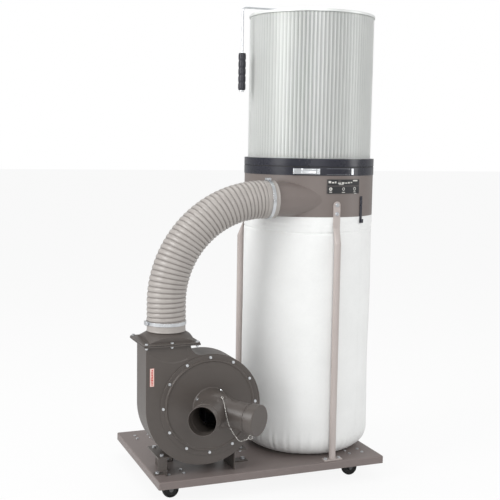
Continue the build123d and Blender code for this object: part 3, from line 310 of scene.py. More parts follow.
def surface(name, first, second, cloud, roughness, grain, bump, edge_wear_and_highlight=None, edge_radius=0.0, metallic=0.0,
            stretch=None, **sockets):
    """Material of two drifting colours with a fine relief. grain is the relief's size and bump its height,
    in metres; edge_wear_and_highlight is the lighter colour on sharp edges, wear with a painted highlight;
    stretch squeezes the pattern along each axis; sockets are the shader's constants."""
    material = bpy.data.materials.new(name)
    material.use_nodes = True
    tree = material.node_tree
    shader = tree.nodes["Principled BSDF"]
    place = tree.nodes.new("ShaderNodeTexCoord").outputs["Object"]
    if stretch:
        mapping = tree.nodes.new("ShaderNodeMapping")
        mapping.inputs["Scale"].default_value = stretch
        tree.links.new(place, mapping.inputs["Vector"])
        place = mapping.outputs["Vector"]
    tone = place_group(tree, drift, Vector=place, First=linear(*first), Second=linear(*second),
                       Size=cloud)
    colour = tone["Colour"]
    relief = tree.nodes.new("ShaderNodeBump")
    relief.inputs["Distance"].default_value = bump
    tree.links.new(place_group(tree, peel, Vector=place, Size=grain)["Height"], relief.inputs["Height"])
    if edge_radius:
        rim = place_group(tree, soft_edge, Radius=edge_radius, Vector=place)
        tree.links.new(rim["Normal"], relief.inputs["Normal"])
        # Sharp edges get the lighter edge colour: wear, with a painted highlight.
        if edge_wear_and_highlight:
            colour = mix(tree, rim["Mask"], colour, linear(*edge_wear_and_highlight))
    tree.links.new(colour, shader.inputs["Base Color"])
    rough = math_node(tree, "MULTIPLY_ADD", tone["Mask"], 0.14, roughness - 0.07, clamp=True)
    tree.links.new(rough, shader.inputs["Roughness"])
    tree.links.new(relief.outputs["Normal"], shader.inputs["Normal"])
    shader.inputs["Metallic"].default_value = metallic
    for key, value in sockets.items():
        shader.inputs[key.replace("_", " ")].default_value = value
    return material


def finish_nodes(material, *names):
    """Gives CAD nodes their material."""
    for name in names:
        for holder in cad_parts[name].material_slots:
            holder.material = material


grey_coat = surface("grey_coat", (118, 108, 105), (126, 116, 113), 0.35, 0.42, 0.0018, 0.00006,
                    edge_wear_and_highlight=(150, 140, 136), edge_radius=0.002)
finish_nodes(grey_coat, "base_plate")

# ---- casters and bolts --------------------------------------------------------------------------
# Pressed forks and top plates, zinc plated; moulded black wheels. All the bolts are zinc plated.

zinc = surface("zinc", (222, 224, 226), (200, 203, 207), 0.03, 0.3, 0.001, 0.00002,
               edge_radius=0.0008, metallic=0.85)
fork_zinc = surface("fork_zinc", (120, 120, 120), (96, 96, 98), 0.03, 0.4, 0.001, 0.00003,
                    edge_radius=0.001, metallic=0.85)
wheel_black = surface("wheel_black", (26, 26, 27), (38, 38, 39), 0.02, 0.55, 0.0008, 0.00004,
                      edge_wear_and_highlight=(62, 60, 58), edge_radius=0.001)
finish_nodes(zinc, "caster_bolts", "frame_bolts", "cover_screws", "outlet_bolts", "leg_bolts",
             "impeller_bolt")
finish_nodes(fork_zinc, "caster_plates", *(f"caster_fork_{k}" for k in range(1, 5)))
finish_nodes(wheel_black, *(f"caster_wheel_{k}" for k in range(1, 5)))

# ---- blower casing and stand --------------------------------------------------------------------
# Welded sheet steel scroll with its bolted front cover, on a folded stand. The same powder coat as the
# plate, with painted shade: a copy of its colour made darker, as the blower is lit less.

painted_shade_coat = surface("painted_shade_coat", (78, 72, 68), (86, 80, 76), 0.25, 0.4, 0.0018, 0.00006,
                    edge_wear_and_highlight=(112, 104, 99), edge_radius=0.0022)
finish_nodes(painted_shade_coat, "blower_casing", "blower_cover", "blower_stand")

# ---- impeller and motor -------------------------------------------------------------------------
# Cast aluminium motor with a steel shaft and laminated core, plastic fan, cowl and boxes.

cast_alloy = surface("cast_alloy", (150, 152, 155), (128, 130, 134), 0.04, 0.5, 0.0012, 0.00012,
                     edge_wear_and_highlight=(190, 192, 195), edge_radius=0.0015, metallic=0.75)
shaft_steel = surface("shaft_steel", (186, 188, 190), (165, 167, 170), 0.05, 0.25, 0.0006, 0.00001,
                      edge_radius=0.0006, metallic=1.0)
core_steel = surface("core_steel", (92, 90, 90), (70, 66, 64), 0.02, 0.5, 0.0006, 0.00003,
                     metallic=0.8, stretch=(1, 8, 1))
moulded_black = surface("moulded_black", (30, 30, 32), (40, 40, 42), 0.05, 0.5, 0.0009, 0.00006,
                        edge_wear_and_highlight=(70, 70, 72), edge_radius=0.0012)
green_button = surface("green_button", (20, 140, 70), (24, 156, 80), 0.01, 0.35, 0.0008, 0.00002,
                       edge_radius=0.001)
red_button = surface("red_button", (185, 25, 22), (200, 34, 28), 0.01, 0.35, 0.0008, 0.00002,
                     edge_radius=0.001)
finish_nodes(cast_alloy, "impeller", "motor_body", "motor_front_shield", "motor_rear_shield")
finish_nodes(shaft_steel, "motor_shaft", "motor_bearings", "beater_shaft")
finish_nodes(core_steel, "motor_stator")
finish_nodes(moulded_black, "motor_fan", "fan_cover", "capacitor_box", "switch_box", "cable_gland")
finish_nodes(green_button, "start_button")
finish_nodes(red_button, "stop_button")

# ---- inlet with two branches, and its cap -------------------------------------------------------
# Welded steel tubes and a pressed cap, in the blower's darker copy of the coat: painted shade.

finish_nodes(painted_shade_coat, "inlet_branches", "inlet_cap")

# ---- cap chain ----------------------------------------------------------------------------------
# Small twisted steel chain, nickel plated. It hangs in a bight from an eye on the inlet's crotch
# to the lower edge of the cap.

CHAIN_ROUTE = [
    (-0.245, -0.388, 0.399), (-0.246, -0.412, 0.385), (-0.250, -0.437, 0.363), (-0.248, -0.448, 0.338),
    (-0.237, -0.450, 0.306), (-0.217, -0.459, 0.273), (-0.208, -0.468, 0.263), (-0.196, -0.481, 0.271),
    (-0.1795, -0.4956, 0.2826)]
chain_route = [plate_centre + Vector(place) for place in CHAIN_ROUTE]
LINK_PITCH = 0.0062
LINK_LENGTH = 0.0085
LINK_WIDTH = 0.0040
LINK_TWIST = 1.25
WIRE_R = 0.00055
RING_WIRE_R = 0.0008
EYE_RADIUS, CAP_RING_RADIUS = 0.0032, 0.0068


def spline_points(route):
    """Points along the smooth line of a route: a NURBS spline of order 3 that ends on the route's ends."""
    curve = bpy.data.curves.new("route", "CURVE")
    curve.dimensions = "3D"
    spline = curve.splines.new("NURBS")
    spline.points.add(len(route) - 1)
    spline.points.foreach_set("co", [c for point in route for c in (*point, 1.0)])
    spline.order_u = 3
    spline.use_endpoint_u = True
    spline.resolution_u = 24
    holder = bpy.data.objects.new("route", curve)
    scene.collection.objects.link(holder)
    mesh = bpy.data.meshes.new_from_object(holder)
    points = np.zeros(len(mesh.vertices) * 3)
    mesh.vertices.foreach_get("co", points)
    bpy.data.objects.remove(holder)
    bpy.data.meshes.remove(mesh)
    bpy.data.curves.remove(curve)
    return points.reshape(-1, 3)


def along(points, distances):
    """Places and unit tangents at distances along a line of points."""
    steps = np.linalg.norm(np.diff(points, axis=0), axis=1)
    run = np.concatenate([[0], np.cumsum(steps)])
    place = np.stack([np.interp(distances, run, points[:, k]) for k in range(3)], axis=1)
    ahead = np.stack([np.interp(distances + 0.001, run, points[:, k]) for k in range(3)], axis=1)
    behind = np.stack([np.interp(distances - 0.001, run, points[:, k]) for k in range(3)], axis=1)
    tangent = ahead - behind
    return place, tangent / np.linalg.norm(tangent, axis=1, keepdims=True)


def link_mesh(name, line):
    """Oval links along a line. A link's wire follows the oval x = (length/2 - wire) cos a,
    y = (width/2 - wire) sin a; each link is turned by the twist about the line more than the one before."""
    total = np.linalg.norm(np.diff(line, axis=0), axis=1).sum()
    count = int(total / LINK_PITCH)
    place, tangent = along(line, (np.arange(count) + 0.5) * total / count)
    side = np.cross(tangent, (1.0, 0.2, 0.1))
    side /= np.linalg.norm(side, axis=1, keepdims=True)
    up = np.cross(tangent, side)
    spin = np.arange(count)[:, None] * LINK_TWIST
    across = side * np.cos(spin) + up * np.sin(spin)
    normal = np.cross(tangent, across)
    around, sides = 14, 6
    a = np.linspace(0, 2 * pi, around, endpoint=False)[:, None]
    b = np.linspace(0, 2 * pi, sides, endpoint=False)
    x = (LINK_LENGTH / 2 - WIRE_R + WIRE_R * np.cos(b)) * np.cos(a)
    y = (LINK_WIDTH / 2 - WIRE_R + WIRE_R * np.cos(b)) * np.sin(a)
    z = np.broadcast_to(WIRE_R * np.sin(b), x.shape)
    points = (place[:, None, None] + x[None, ..., None] * tangent[:, None, None]
              + y[None, ..., None] * across[:, None, None] + z[None, ..., None] * normal[:, None, None])
    i = np.arange(around)[:, None]
    j = np.arange(sides)[None, :]
    here, ahead, j2 = i * sides, (i + 1) % around * sides, (j + 1) % sides
    cell = np.stack([here + j, ahead + j, ahead + j2, here + j2], axis=-1)
    faces = cell.reshape(1, -1, 4) + np.arange(count)[:, None, None] * around * sides
    return polygon_mesh(name, points.reshape(-1, 3), faces.reshape(-1, 4))


def torus_mesh(name, centre, normal, radius, wire):
    """Ring of round wire: a circle of the wire's radius swept round a circle about the normal."""
    axis = np.array(normal) / np.linalg.norm(normal)
    side = np.cross(axis, (0.0, 0.0, 1.0))
    side /= np.linalg.norm(side)
    up = np.cross(axis, side)
    a = np.linspace(0, 2 * pi, 48, endpoint=False)[:, None, None]
    b = np.linspace(0, 2 * pi, 12, endpoint=False)[None, :, None]
    spoke = np.cos(a) * side + np.sin(a) * up
    points = np.array(centre) + spoke * (radius + wire * np.cos(b)) + axis * wire * np.sin(b)
    return grid_mesh(name, points, close_u=True, close_v=True)


nickel = surface("nickel", (236, 234, 230), (214, 211, 206), 0.01, 0.2, 0.0006, 0.00001, metallic=0.9)
chain_line = spline_points(chain_route)
chain = piece("chain_links", link_mesh("chain_links", chain_line), nickel, body=None)
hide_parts("cap_chain")
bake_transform(chain)
cap_ring_centre = chain_route[-1] + Vector((-0.002, 0, 0.001))
for name, place, radius, body in (("eye_ring", chain_route[0], EYE_RADIUS, "root"),
                                  ("cap_ring", cap_ring_centre, CAP_RING_RADIUS, "inlet_cap")):
    made = piece(name, torus_mesh(name, place, (-0.5, -0.8, 0.3), radius, RING_WIRE_R), nickel, body)

# ---- outlet hood, gasket and label --------------------------------------------------------------
# Pressed square-to-round hood bolted on the casing's flange over a rubber gasket. A small printed
# film label is stuck on the casing's front.

rubber = surface("rubber", (30, 29, 28), (40, 38, 37), 0.03, 0.75, 0.0012, 0.0001)
finish_nodes(rubber, "outlet_gasket", "filter_seal")
# The hood takes the blower's darker copy of the coat: painted shade.
finish_nodes(painted_shade_coat, "outlet_hood")
label_film = surface("label_film", (226, 196, 186), (232, 206, 198), 0.02, 0.45, 0.001, 0.00001)
label_low, label_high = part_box("warning_label")
tree = label_film.node_tree
shader = tree.nodes["Principled BSDF"]
spread = tree.nodes.new("ShaderNodeMapping")
spread.vector_type = "TEXTURE"
spread.inputs["Location"].default_value = (label_low + label_high) / 2
spread.inputs["Scale"].default_value = (label_high - label_low) / 2
tree.links.new(tree.nodes["Texture Coordinate"].outputs["Object"], spread.inputs["Vector"])
part = tree.nodes.new("ShaderNodeSeparateXYZ")
tree.links.new(spread.outputs["Vector"], part.inputs["Vector"])
across, upward = (math_node(tree, "ABSOLUTE", part.outputs[axis]) for axis in ("X", "Z"))
border = math_node(tree, "MAXIMUM", math_node(tree, "GREATER_THAN", across, 0.84),
                   math_node(tree, "GREATER_THAN", upward, 0.96))
row = math_node(tree, "FRACT", math_node(tree, "MULTIPLY", part.outputs["Z"], 5.5))
reach = math_node(tree, "MULTIPLY_ADD", noise(tree, spread.outputs["Vector"], 0.4), 0.9, -0.08)
bars = math_node(tree, "MULTIPLY", math_node(tree, "LESS_THAN", row, 0.72),
                 math_node(tree, "LESS_THAN", across, reach))
bars = math_node(tree, "MULTIPLY", bars, math_node(tree, "LESS_THAN", upward, 0.86))
print_mask = math_node(tree, "MAXIMUM", math_node(tree, "MULTIPLY", border, 0.35), bars)
film = shader.inputs["Base Color"].links[0].from_socket
tree.links.new(mix(tree, print_mask, film, linear(196, 44, 40)), shader.inputs["Base Color"])
finish_nodes(label_film, "warning_label")

# ---- duct hose ----------------------------------------------------------------------------------
# Grey flexible hose with a steel spiral moulded into rounded ribs. It is drawn over the hood's
# spigot and the drum's inlet pipe, smooth under the clamps and pushed together near the drum.
# The grooves between the ribs and the inside of the hose are darkened: painted shade.

hose_low, hose_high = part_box("duct_hose")
HOSE_R = (hose_high.y - hose_low.y) / 2
HOSE_WALL = 0.0055
HOSE_BEND = 0.362
hose_x, hose_y = hose_low.x + HOSE_R, (hose_low.y + hose_high.y) / 2
hose_top = hose_high.z - HOSE_R
RIB_PITCH, TIGHT_PITCH = 0.0168, 0.0115
RIB_DEPTH = 0.0042
CUFF = 0.036
CUFF_DROP = 0.0012
CRUMPLE = 0.0009
TIGHT_REACH = 0.15
RIB_FADE = 0.012
LIP_LENGTH, LIP_RISE = 0.004, 0.0008
ROUND_STEPS, INNER_STEPS = 72, 60


def hose_line(distance):
    """Centre and outward direction of the bend at a distance along the hose: up, a quarter circle, then
    level."""
    rise = hose_top - HOSE_BEND - hose_low.z
    angle = np.clip((distance - rise) / HOSE_BEND, 0, pi / 2)
    x = hose_x + HOSE_BEND * (1 - np.cos(angle)) + np.maximum(distance - rise - HOSE_BEND * pi / 2, 0)
    z = hose_low.z + np.minimum(distance, rise) + HOSE_BEND * np.sin(angle)
    centre = np.stack([x, np.full_like(x, hose_y), z], axis=1)
    outward = np.stack([-np.cos(angle), np.zeros_like(x), np.sin(angle)], axis=1)
    return centre, outward


hose_length = hose_top - hose_low.z + hose_high.x - hose_x + HOSE_BEND * (pi / 2 - 2)
run = np.linspace(0, hose_length, 760)
near_drum = np.clip((run - (hose_length - TIGHT_REACH)) / TIGHT_REACH, 0, 1)
pitch = RIB_PITCH + (TIGHT_PITCH - RIB_PITCH) * near_drum
phase = np.concatenate([[0], np.cumsum(np.diff(run) / pitch[1:])])
ribbed = (np.clip((run - CUFF * 0.7) / RIB_FADE, 0, 1)
          * np.clip((hose_length - CUFF - run) / RIB_FADE, 0, 1))
round_angle = np.linspace(0, 2 * pi, ROUND_STEPS, endpoint=False)
turned = phase[:, None] + round_angle / (2 * pi)
lobe = np.abs(np.sin(pi * turned)) ** 0.55
crumple = CRUMPLE * near_drum[:, None] * np.sin(3 * round_angle + 25 * phase[:, None] / 6)
outer = HOSE_R - CUFF_DROP + ribbed[:, None] * (crumple + CUFF_DROP - RIB_DEPTH * (1 - lobe))
end_step = np.minimum(run, hose_length - run) < LIP_LENGTH
outer = outer + np.where(end_step, LIP_RISE, 0)[:, None]
inner_run = np.linspace(hose_length, 0, INNER_STEPS)
radius = np.vstack([outer, np.full((INNER_STEPS, ROUND_STEPS), HOSE_R - HOSE_WALL)])
centre, outward = hose_line(np.concatenate([run, inner_run]))
across = np.array([0.0, 1.0, 0.0])
spoke = (np.cos(round_angle)[None, :, None] * outward[:, None]
         + np.sin(round_angle)[None, :, None] * across)
hose_points = centre[:, None] + radius[..., None] * spoke
hose_mesh = grid_mesh("hose_skin", hose_points, close_u=True, close_v=True, flip=True)
groove = hose_mesh.attributes.new("groove", "FLOAT", "POINT")
# The groove value marks the painted shade: it rises in the rib grooves and is 1 on the whole inside of the
# hose.
groove_depth = np.vstack([(1 - lobe) * ribbed[:, None], np.ones((INNER_STEPS, ROUND_STEPS))])
groove.data.foreach_set("value", groove_depth.astype(np.float32).ravel())

hose_grey = surface("hose_grey", (160, 154, 150), (170, 165, 160), 0.08, 0.42, 0.0015, 0.00008,
                    Coat_Weight=0.25, Coat_Roughness=0.3)
tree = hose_grey.node_tree
shader = tree.nodes["Principled BSDF"]
depth = tree.nodes.new("ShaderNodeAttribute")
depth.attribute_name = "groove"
# Painted shade: the grooves and the inside of the hose are darkened towards a dark brown grey.
painted_groove_shade = mix(tree, math_node(tree, "POWER", depth.outputs["Fac"], 1.6, clamp=True),
            shader.inputs["Base Color"].links[0].from_socket, linear(80, 72, 68))
tree.links.new(painted_groove_shade, shader.inputs["Base Color"])
hose = piece("hose_skin", hose_mesh, hose_grey)
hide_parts("duct_hose")
finish_nodes(zinc, "hose_clamp_lower", "hose_clamp_upper")

# ---- separator drum, legs and small fittings ----------------------------------------------------
# Rolled steel drum with a tangent inlet pipe, in the grey coat, on three tube legs painted lighter.

drum_coat = surface("drum_coat", (114, 105, 101), (122, 113, 109), 0.3, 0.36, 0.0018, 0.00005,
                    edge_wear_and_highlight=(146, 136, 131), edge_radius=0.002)
leg_coat = surface("leg_coat", (176, 166, 162), (184, 175, 171), 0.15, 0.4, 0.0016, 0.00004,
                   edge_wear_and_highlight=(204, 197, 192), edge_radius=0.0012)
black_coat = surface("black_coat", (34, 35, 44), (42, 43, 53), 0.12, 0.27, 0.0016, 0.00004,
                     edge_wear_and_highlight=(84, 86, 96), edge_radius=0.0015)
finish_nodes(drum_coat, "separator_drum")
finish_nodes(leg_coat, "support_leg_front", "support_leg_left", "support_leg_right")
finish_nodes(black_coat, "bag_hooks", "belt_clamp", "filter_rim")
finish_nodes(moulded_black, "rating_plate")
finish_nodes(zinc, "belt_lever", "crank", "bag_band")

bag_low, bag_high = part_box("dust_bag")
tower_x, tower_y = (bag_low.x + bag_high.x) / 2, (bag_low.y + bag_high.y) / 2
DRUM_R = 0.249
PRINT_R = DRUM_R + 0.0014
STRAP_R = DRUM_R + 0.0031
PATCH_STEPS, RING_STEPS = 8, 28


def on_drum(radius, theta, z):
    """Points on the drum's round wall from a radius, an angle in radians and a height, as arrays."""
    theta, z = np.broadcast_arrays(theta, z)
    return np.stack([tower_x + radius * np.cos(theta), tower_y + radius * np.sin(theta), z], axis=-1)


def drum_patches(name, marks, radius):
    """Thin curved rectangles on the drum, one for each (angle in degrees, z, width, height)."""
    angle, z, width, height = (np.array(column)[:, None, None] for column in zip(*marks))
    row = PATCH_STEPS + 1
    u = np.linspace(-0.5, 0.5, row)[None, None, :]
    v = np.array([-0.5, 0.5])[None, :, None]
    points = on_drum(radius, np.radians(angle) + u * width / radius, z + v * height)
    i = np.arange(PATCH_STEPS)
    cell = np.stack([i, i + 1, i + row + 1, i + row], axis=-1)
    faces = cell[None] + 2 * row * np.arange(len(marks))[:, None, None]
    return polygon_mesh(name, points.reshape(-1, 3), faces.reshape(-1, 4))


def drum_rings(name, rings, radius):
    """Flat rings lying on the drum, one for each (angle in degrees, z, outer radius, inner radius)."""
    angle, z, outer, inner = (np.array(column)[:, None, None] for column in zip(*rings))
    t = np.linspace(0, 2 * pi, RING_STEPS, endpoint=False)[None, None, :]
    size = inner + (outer - inner) * np.array([0.0, 1.0])[None, :, None]
    points = on_drum(radius, np.radians(angle) + size * np.cos(t) / radius, z + size * np.sin(t))
    i = np.arange(RING_STEPS)
    i2 = (i + 1) % RING_STEPS
    cell = np.stack([i, i + RING_STEPS, i2 + RING_STEPS, i2], axis=-1)
    faces = cell[None] + 2 * RING_STEPS * np.arange(len(rings))[:, None, None]
    return polygon_mesh(name, points.reshape(-1, 3), faces.reshape(-1, 4))


# Printed marks on the rating plate: plain bars, three round icons and a border.
plate_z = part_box("rating_plate")[0].z
print_white = surface("print_white", (214, 213, 208), (196, 195, 190), 0.004, 0.5, 0.0008, 0.00001)
print_grey = surface("print_grey", (112, 104, 100), (124, 116, 112), 0.01, 0.5, 0.0008, 0.00001)
white_bars = [(-96.9, plate_z + 0.044, 0.0100, 0.0080), (-94.0, plate_z + 0.042, 0.0090, 0.0050),
              (-91.7, plate_z + 0.043, 0.0060, 0.0066), (-88.0, plate_z + 0.040, 0.0130, 0.0040),
              (-84.6, plate_z + 0.0405, 0.0110, 0.0062), (-81.4, plate_z + 0.0405, 0.0095, 0.0040),
              (-78.6, plate_z + 0.0415, 0.0085, 0.0054), (-75.9, plate_z + 0.0425, 0.0080, 0.0040),
              (-86.4, plate_z + 0.0350, 0.0200, 0.0022), (-71.4, plate_z + 0.0490, 0.0240, 0.0050),
              (-96.0, plate_z + 0.0075, 0.0110, 0.0026), (-84.0, plate_z + 0.0065, 0.0130, 0.0024),
              (-72.0, plate_z + 0.0075, 0.0110, 0.0022), (-71.0, plate_z + 0.0015, 0.0120, 0.0016)]
grey_bars = [(-82.75, plate_z + 0.0295, 0.1420, 0.0012), (-82.75, plate_z + 0.0540, 0.1440, 0.0012),
             (-82.75, plate_z + 0.0010, 0.1440, 0.0012), (-99.2, plate_z + 0.0275, 0.0012, 0.0540),
             (-66.3, plate_z + 0.0275, 0.0012, 0.0540), (-88.0, plate_z + 0.0480, 0.0110, 0.0022)]
icons = [(-96.0, plate_z + 0.0185, 0.0062, 0.0022), (-84.0, plate_z + 0.0185, 0.0056, 0.0036),
         (-72.0, plate_z + 0.0190, 0.0064, 0.0040)]
marks = [piece("print_bars", drum_patches("print_bars", white_bars, PRINT_R), print_white),
         piece("print_lines", drum_patches("print_lines", grey_bars, PRINT_R), print_grey),
         piece("print_icons", drum_rings("print_icons", icons, PRINT_R), print_white)]

# The belt's free end: a bright tip and two rows of small holes that show the zinc under the paint.
BELT_WIDTH = 0.030
HOLE_ROW = 0.0105
belt_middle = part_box("belt_clamp")[1].z - BELT_WIDTH / 2
tip = drum_patches("belt_tip", [(-75.2, belt_middle, 0.0100, 0.0225)], STRAP_R)
holes = [(angle, belt_middle + side * HOLE_ROW, 0.0026, 0.0016)
         for angle in range(-99, -78, 2) for side in (-1, 1)]
for made in (piece("belt_tip", tip, zinc),
             piece("belt_holes", drum_patches("belt_holes", holes, STRAP_R), zinc)):
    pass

# The lever's pressed plate, and its wire loop at the pivot: a circle of the wire's radius swept round
# a square with rounded corners, the curve x^4 + y^4 = 1. Angles are in degrees round the drum.
LEVER_R = DRUM_R + 0.0086
PLATE_ANGLE, PLATE_REACH, PLATE_RISE = -114.6, 6.6, 0.0098
LOOP_ANGLE, LOOP_REACH, LOOP_RISE, LOOP_WIRE_R = -123.4, 3.0, 0.0078, 0.0014
u = np.linspace(-1, 1, 41)[:, None]
v = np.linspace(-1, 1, 25)[None, :]
swell = np.clip(5.0 * (1 - np.maximum(np.abs(u), np.abs(v))), 0, 1)
bulge = LEVER_R + 0.0026 * swell - 0.0008 * np.exp(-(v / 0.28) ** 2) * swell
lever_points = on_drum(bulge, np.radians(PLATE_ANGLE + PLATE_REACH * u), belt_middle + PLATE_RISE * v)
lever_plate = piece("lever_plate", grid_mesh("lever_plate", lever_points), zinc, "belt_lever")
a = np.linspace(0, 2 * pi, 64, endpoint=False)[:, None]
b = np.linspace(0, 2 * pi, 10, endpoint=False)[None, :]
rounded = (np.abs(np.cos(a)) ** 4 + np.abs(np.sin(a)) ** 4) ** -0.25
theta = (np.radians(LOOP_ANGLE + LOOP_REACH * rounded * np.cos(a))
         + LOOP_WIRE_R * np.cos(b) * np.cos(a) / DRUM_R)
height = belt_middle + (LOOP_RISE * rounded + LOOP_WIRE_R * np.cos(b)) * np.sin(a)
loop_points = on_drum(LEVER_R + 0.0012 + LOOP_WIRE_R * np.sin(b), theta, height)
loop_mesh = grid_mesh("lever_loop", loop_points, close_u=True, close_v=True)
lever_loop = piece("lever_loop", loop_mesh, zinc, "belt_lever")

# ---- dust bag -----------------------------------------------------------------------------------
# White needle felt, sewn as a tube with a round bottom. Its hem is held inside the drum by a
# spring band; a seam runs round just below it, and the cloth puckers at the bottom.

BAG_R = (bag_high.x - bag_low.x) / 2
drum_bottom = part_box("separator_drum")[0].z
BAG_CORNER = 0.075
SEAM_DROP = 0.052
SEAM_REACH = 0.082
HEM_R = 0.2464
FELT_THICK = 0.0022

corner = np.linspace(0, pi / 2, 26)
profile = [np.stack([np.linspace(0.0, BAG_R - BAG_CORNER, 24), np.full(24, bag_low.z)], axis=1),
           np.stack([BAG_R - BAG_CORNER + BAG_CORNER * np.sin(corner),
                     bag_low.z + BAG_CORNER * (1 - np.cos(corner))], axis=1)[1:]]
wall_z = np.concatenate([np.linspace(bag_low.z + BAG_CORNER, drum_bottom - SEAM_REACH, 74)[1:-1],
                         np.linspace(drum_bottom - SEAM_REACH, drum_bottom - 0.001, 76)])
profile.append(np.stack([np.full_like(wall_z, BAG_R), wall_z], axis=1))
profile.append(np.array([[HEM_R, drum_bottom + 0.001], [HEM_R, drum_bottom + 0.02], [HEM_R, bag_high.z]]))
profile = np.vstack(profile)
bag_angle = np.linspace(0, 2 * pi, 240, endpoint=False)
r, z = profile[:, :1], profile[:, 1:]
theta = bag_angle[None, :]
free = np.clip((drum_bottom - z) / 0.03, 0, 1) * np.clip(r / 0.15, 0, 1)
low_down = np.exp(-((z - bag_low.z - BAG_CORNER * 0.5) / 0.05) ** 2)
gathers = np.sin(46 * theta + 1.5 * np.sin(5 * theta)) + 0.6 * np.sin(77 * theta + 2.0)
puckers = 0.0016 * low_down * gathers * np.clip(r / 0.2, 0, 1)
waves = (0.0012 * np.sin(3 * theta + 6 * z) * np.sin(9 * z + 1.0)
         + 0.0008 * np.sin(7 * theta - 11 * z + 0.7))
seam_z = drum_bottom - SEAM_DROP - 0.007 * np.cos(theta + radians(95)) + 0.002 * np.sin(4 * theta)
above_seam = np.clip((z - seam_z) / SEAM_DROP, 0, 1) * (z < drum_bottom)
seam = -0.0034 * np.exp(-((z - seam_z) / 0.0035) ** 2) - 0.0012 * (above_seam > 0) * above_seam ** 6
folds = (0.0013 * np.exp(-((z - seam_z - 0.016) / 0.006) ** 2) * np.sin(2 * theta + 0.6)
         + 0.0016 * np.exp(-((z - seam_z - 0.033) / 0.005) ** 2) * np.sin(3 * theta + 2.4)
         + 0.0006 * np.exp(-((z - seam_z - 0.02) / 0.02) ** 2) * np.sin(38 * theta + 3 * np.sin(3 * theta)))
upright_seam = -0.0022 * np.exp(-((theta - radians(300)) * r / 0.003) ** 2)
bag_r = np.maximum(r + free * (puckers + waves + seam + folds + upright_seam) - 0.0012 * free, 0.0)
bag_mesh = grid_mesh("bag_cloth", on_drum(bag_r, theta, z), close_v=True)
builder = bmesh.new()
builder.from_mesh(bag_mesh)
bmesh.ops.remove_doubles(builder, verts=builder.verts, dist=1e-6)
builder.to_mesh(bag_mesh)
builder.free()

felt = surface("felt", (232, 233, 232), (241, 242, 241), 0.12, 0.92, 0.0016, 0.0006, Sheen_Weight=0.25)
bag = piece("bag_cloth", bag_mesh, felt)
wall = bag.modifiers.new("wall", "SOLIDIFY")
wall.thickness = FELT_THICK
wall.offset = -1
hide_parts("dust_bag")

# ---- cartridge filter ---------------------------------------------------------------------------
# Pleated paper between an expanded sheet steel jacket and the crank's beater, closed by a pressed
# cap and held to the drum by a black rim and belt. A bent rod with a ribbed grip turns the beater.

paper = surface("paper", (226, 228, 225), (234, 236, 233), 0.06, 0.85, 0.001, 0.0001)
media_low, media_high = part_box("filter_media")
PLEATS = 100
PLEAT_TOP = (media_high.x - media_low.x) / 2
PLEAT_DEPTH = 0.034
PLEAT_STEPS = 24
turn = np.arange(PLEATS * PLEAT_STEPS) / PLEAT_STEPS
fold = 0.5 - 0.5 * np.cos(2 * pi * turn)
theta = (turn + 0.065 * np.sin(4 * pi * turn)) * 2 * pi / PLEATS
level = np.linspace(0, 1, 9)[:, None]
wander = 0.03 / PLEATS * np.sin(5 * pi * level + 9 * theta)
pleat_r = PLEAT_TOP - PLEAT_DEPTH * fold[None, :] + 0 * level
pleat_z = media_low.z + (media_high.z - media_low.z) * level
pleat_mesh = grid_mesh("pleated_paper", on_drum(pleat_r, theta + wander, pleat_z), close_v=True)
depth_in = pleat_mesh.attributes.new("fold", "FLOAT", "POINT")
depth_in.data.foreach_set("value", np.broadcast_to(fold, pleat_r.shape).astype(np.float32).ravel())
tree = paper.node_tree
shader = tree.nodes["Principled BSDF"]
inward = tree.nodes.new("ShaderNodeAttribute")
inward.attribute_name = "fold"
# Painted shade: the paper darkens towards the bottom of each pleat, where the valleys lie in shade.
valley_shade = math_node(tree, "MULTIPLY", math_node(tree, "POWER", inward.outputs["Fac"], 0.7, clamp=True), 0.85)
tree.links.new(mix(tree, valley_shade, shader.inputs["Base Color"].links[0].from_socket, linear(112, 112, 108)),
               shader.inputs["Base Color"])
pleats = piece("pleated_paper", pleat_mesh, paper)
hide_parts("filter_media")
mesh_white = surface("mesh_white", (222, 225, 223), (230, 232, 230), 0.1, 0.38, 0.0012, 0.00002,
                     metallic=0.15)
finish_nodes(mesh_white, "filter_cap")
grip_black = surface("grip_black", (34, 34, 42), (44, 44, 52), 0.03, 0.42, 0.0008, 0.00004,
                     edge_wear_and_highlight=(80, 80, 90), edge_radius=0.002)
finish_nodes(grip_black, "crank_grip")

jacket_low, jacket_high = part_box("filter_mesh")
JACKET_R = (jacket_high.x - jacket_low.x) / 2
jacket_x, jacket_y = (jacket_low.x + jacket_high.x) / 2, (jacket_low.y + jacket_high.y) / 2
OPENINGS = 186
ROW = 0.0045
STRAND = 0.26


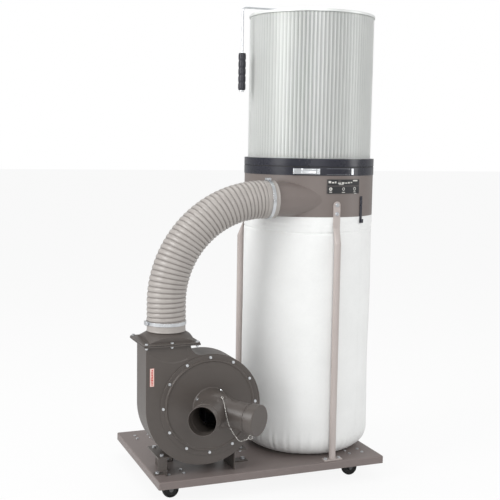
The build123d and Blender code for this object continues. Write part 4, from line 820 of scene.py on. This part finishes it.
def lattice(name, first_row, rows):
    """Expanded sheet of diamond openings on a cylinder. Bonds stand on rows that are half an opening apart,
    every second row turned by half a pitch; each opening is a diamond between four bonds, drawn in towards
    its middle by the strand's share."""
    j = np.arange(rows + 2)[:, None]
    i = np.arange(OPENINGS)[None, :]
    turn = 2 * pi / OPENINGS
    bond_angle = (i + 0.5 * ((j + first_row) % 2)) * turn
    bond_z = jacket_low.z + (j + first_row) * ROW + 0 * i
    bonds = np.stack([bond_angle, bond_z], axis=-1)
    odd = (j[1:-1] + first_row) % 2
    left = j[1:-1] * OPENINGS + i
    right = j[1:-1] * OPENINGS + (i + 1) % OPENINGS
    top = (j[1:-1] + 1) * OPENINGS + (i + odd) % OPENINGS
    bottom = (j[1:-1] - 1) * OPENINGS + (i + odd) % OPENINGS
    middle_angle = bond_angle[1:-1] + 0.5 * turn
    middle_z = bond_z[1:-1]
    keep = 1 - STRAND
    inner = np.stack([
        np.stack([middle_angle - 0.5 * turn * keep, middle_z], axis=-1),
        np.stack([middle_angle, middle_z - ROW * keep], axis=-1),
        np.stack([middle_angle + 0.5 * turn * keep, middle_z], axis=-1),
        np.stack([middle_angle, middle_z + ROW * keep], axis=-1)], axis=2)
    flat = np.vstack([bonds.reshape(-1, 2), inner.reshape(-1, 2)])
    points = np.stack([jacket_x + JACKET_R * np.cos(flat[:, 0]), jacket_y + JACKET_R * np.sin(flat[:, 0]),
                       flat[:, 1]], axis=1)
    base = (rows + 2) * OPENINGS + np.arange(rows * OPENINGS).reshape(rows, OPENINGS) * 4
    ring = [left, bottom, right, top]
    strands = [np.stack([ring[k], ring[(k + 1) % 4], base + (k + 1) % 4, base + k], axis=-1)
               for k in range(4)]
    return polygon_mesh(name, points, np.stack(strands, axis=2).reshape(-1, 4))


jacket_rows = int((jacket_high.z - jacket_low.z) / ROW) - 1
half_rows = jacket_rows // 2
for name, start, count in (("jacket_lower", 0, half_rows),
                           ("jacket_upper", half_rows, jacket_rows - half_rows)):
    jacket = piece(name, lattice(name, start, count), mesh_white, smooth=False)
    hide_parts("filter_mesh")
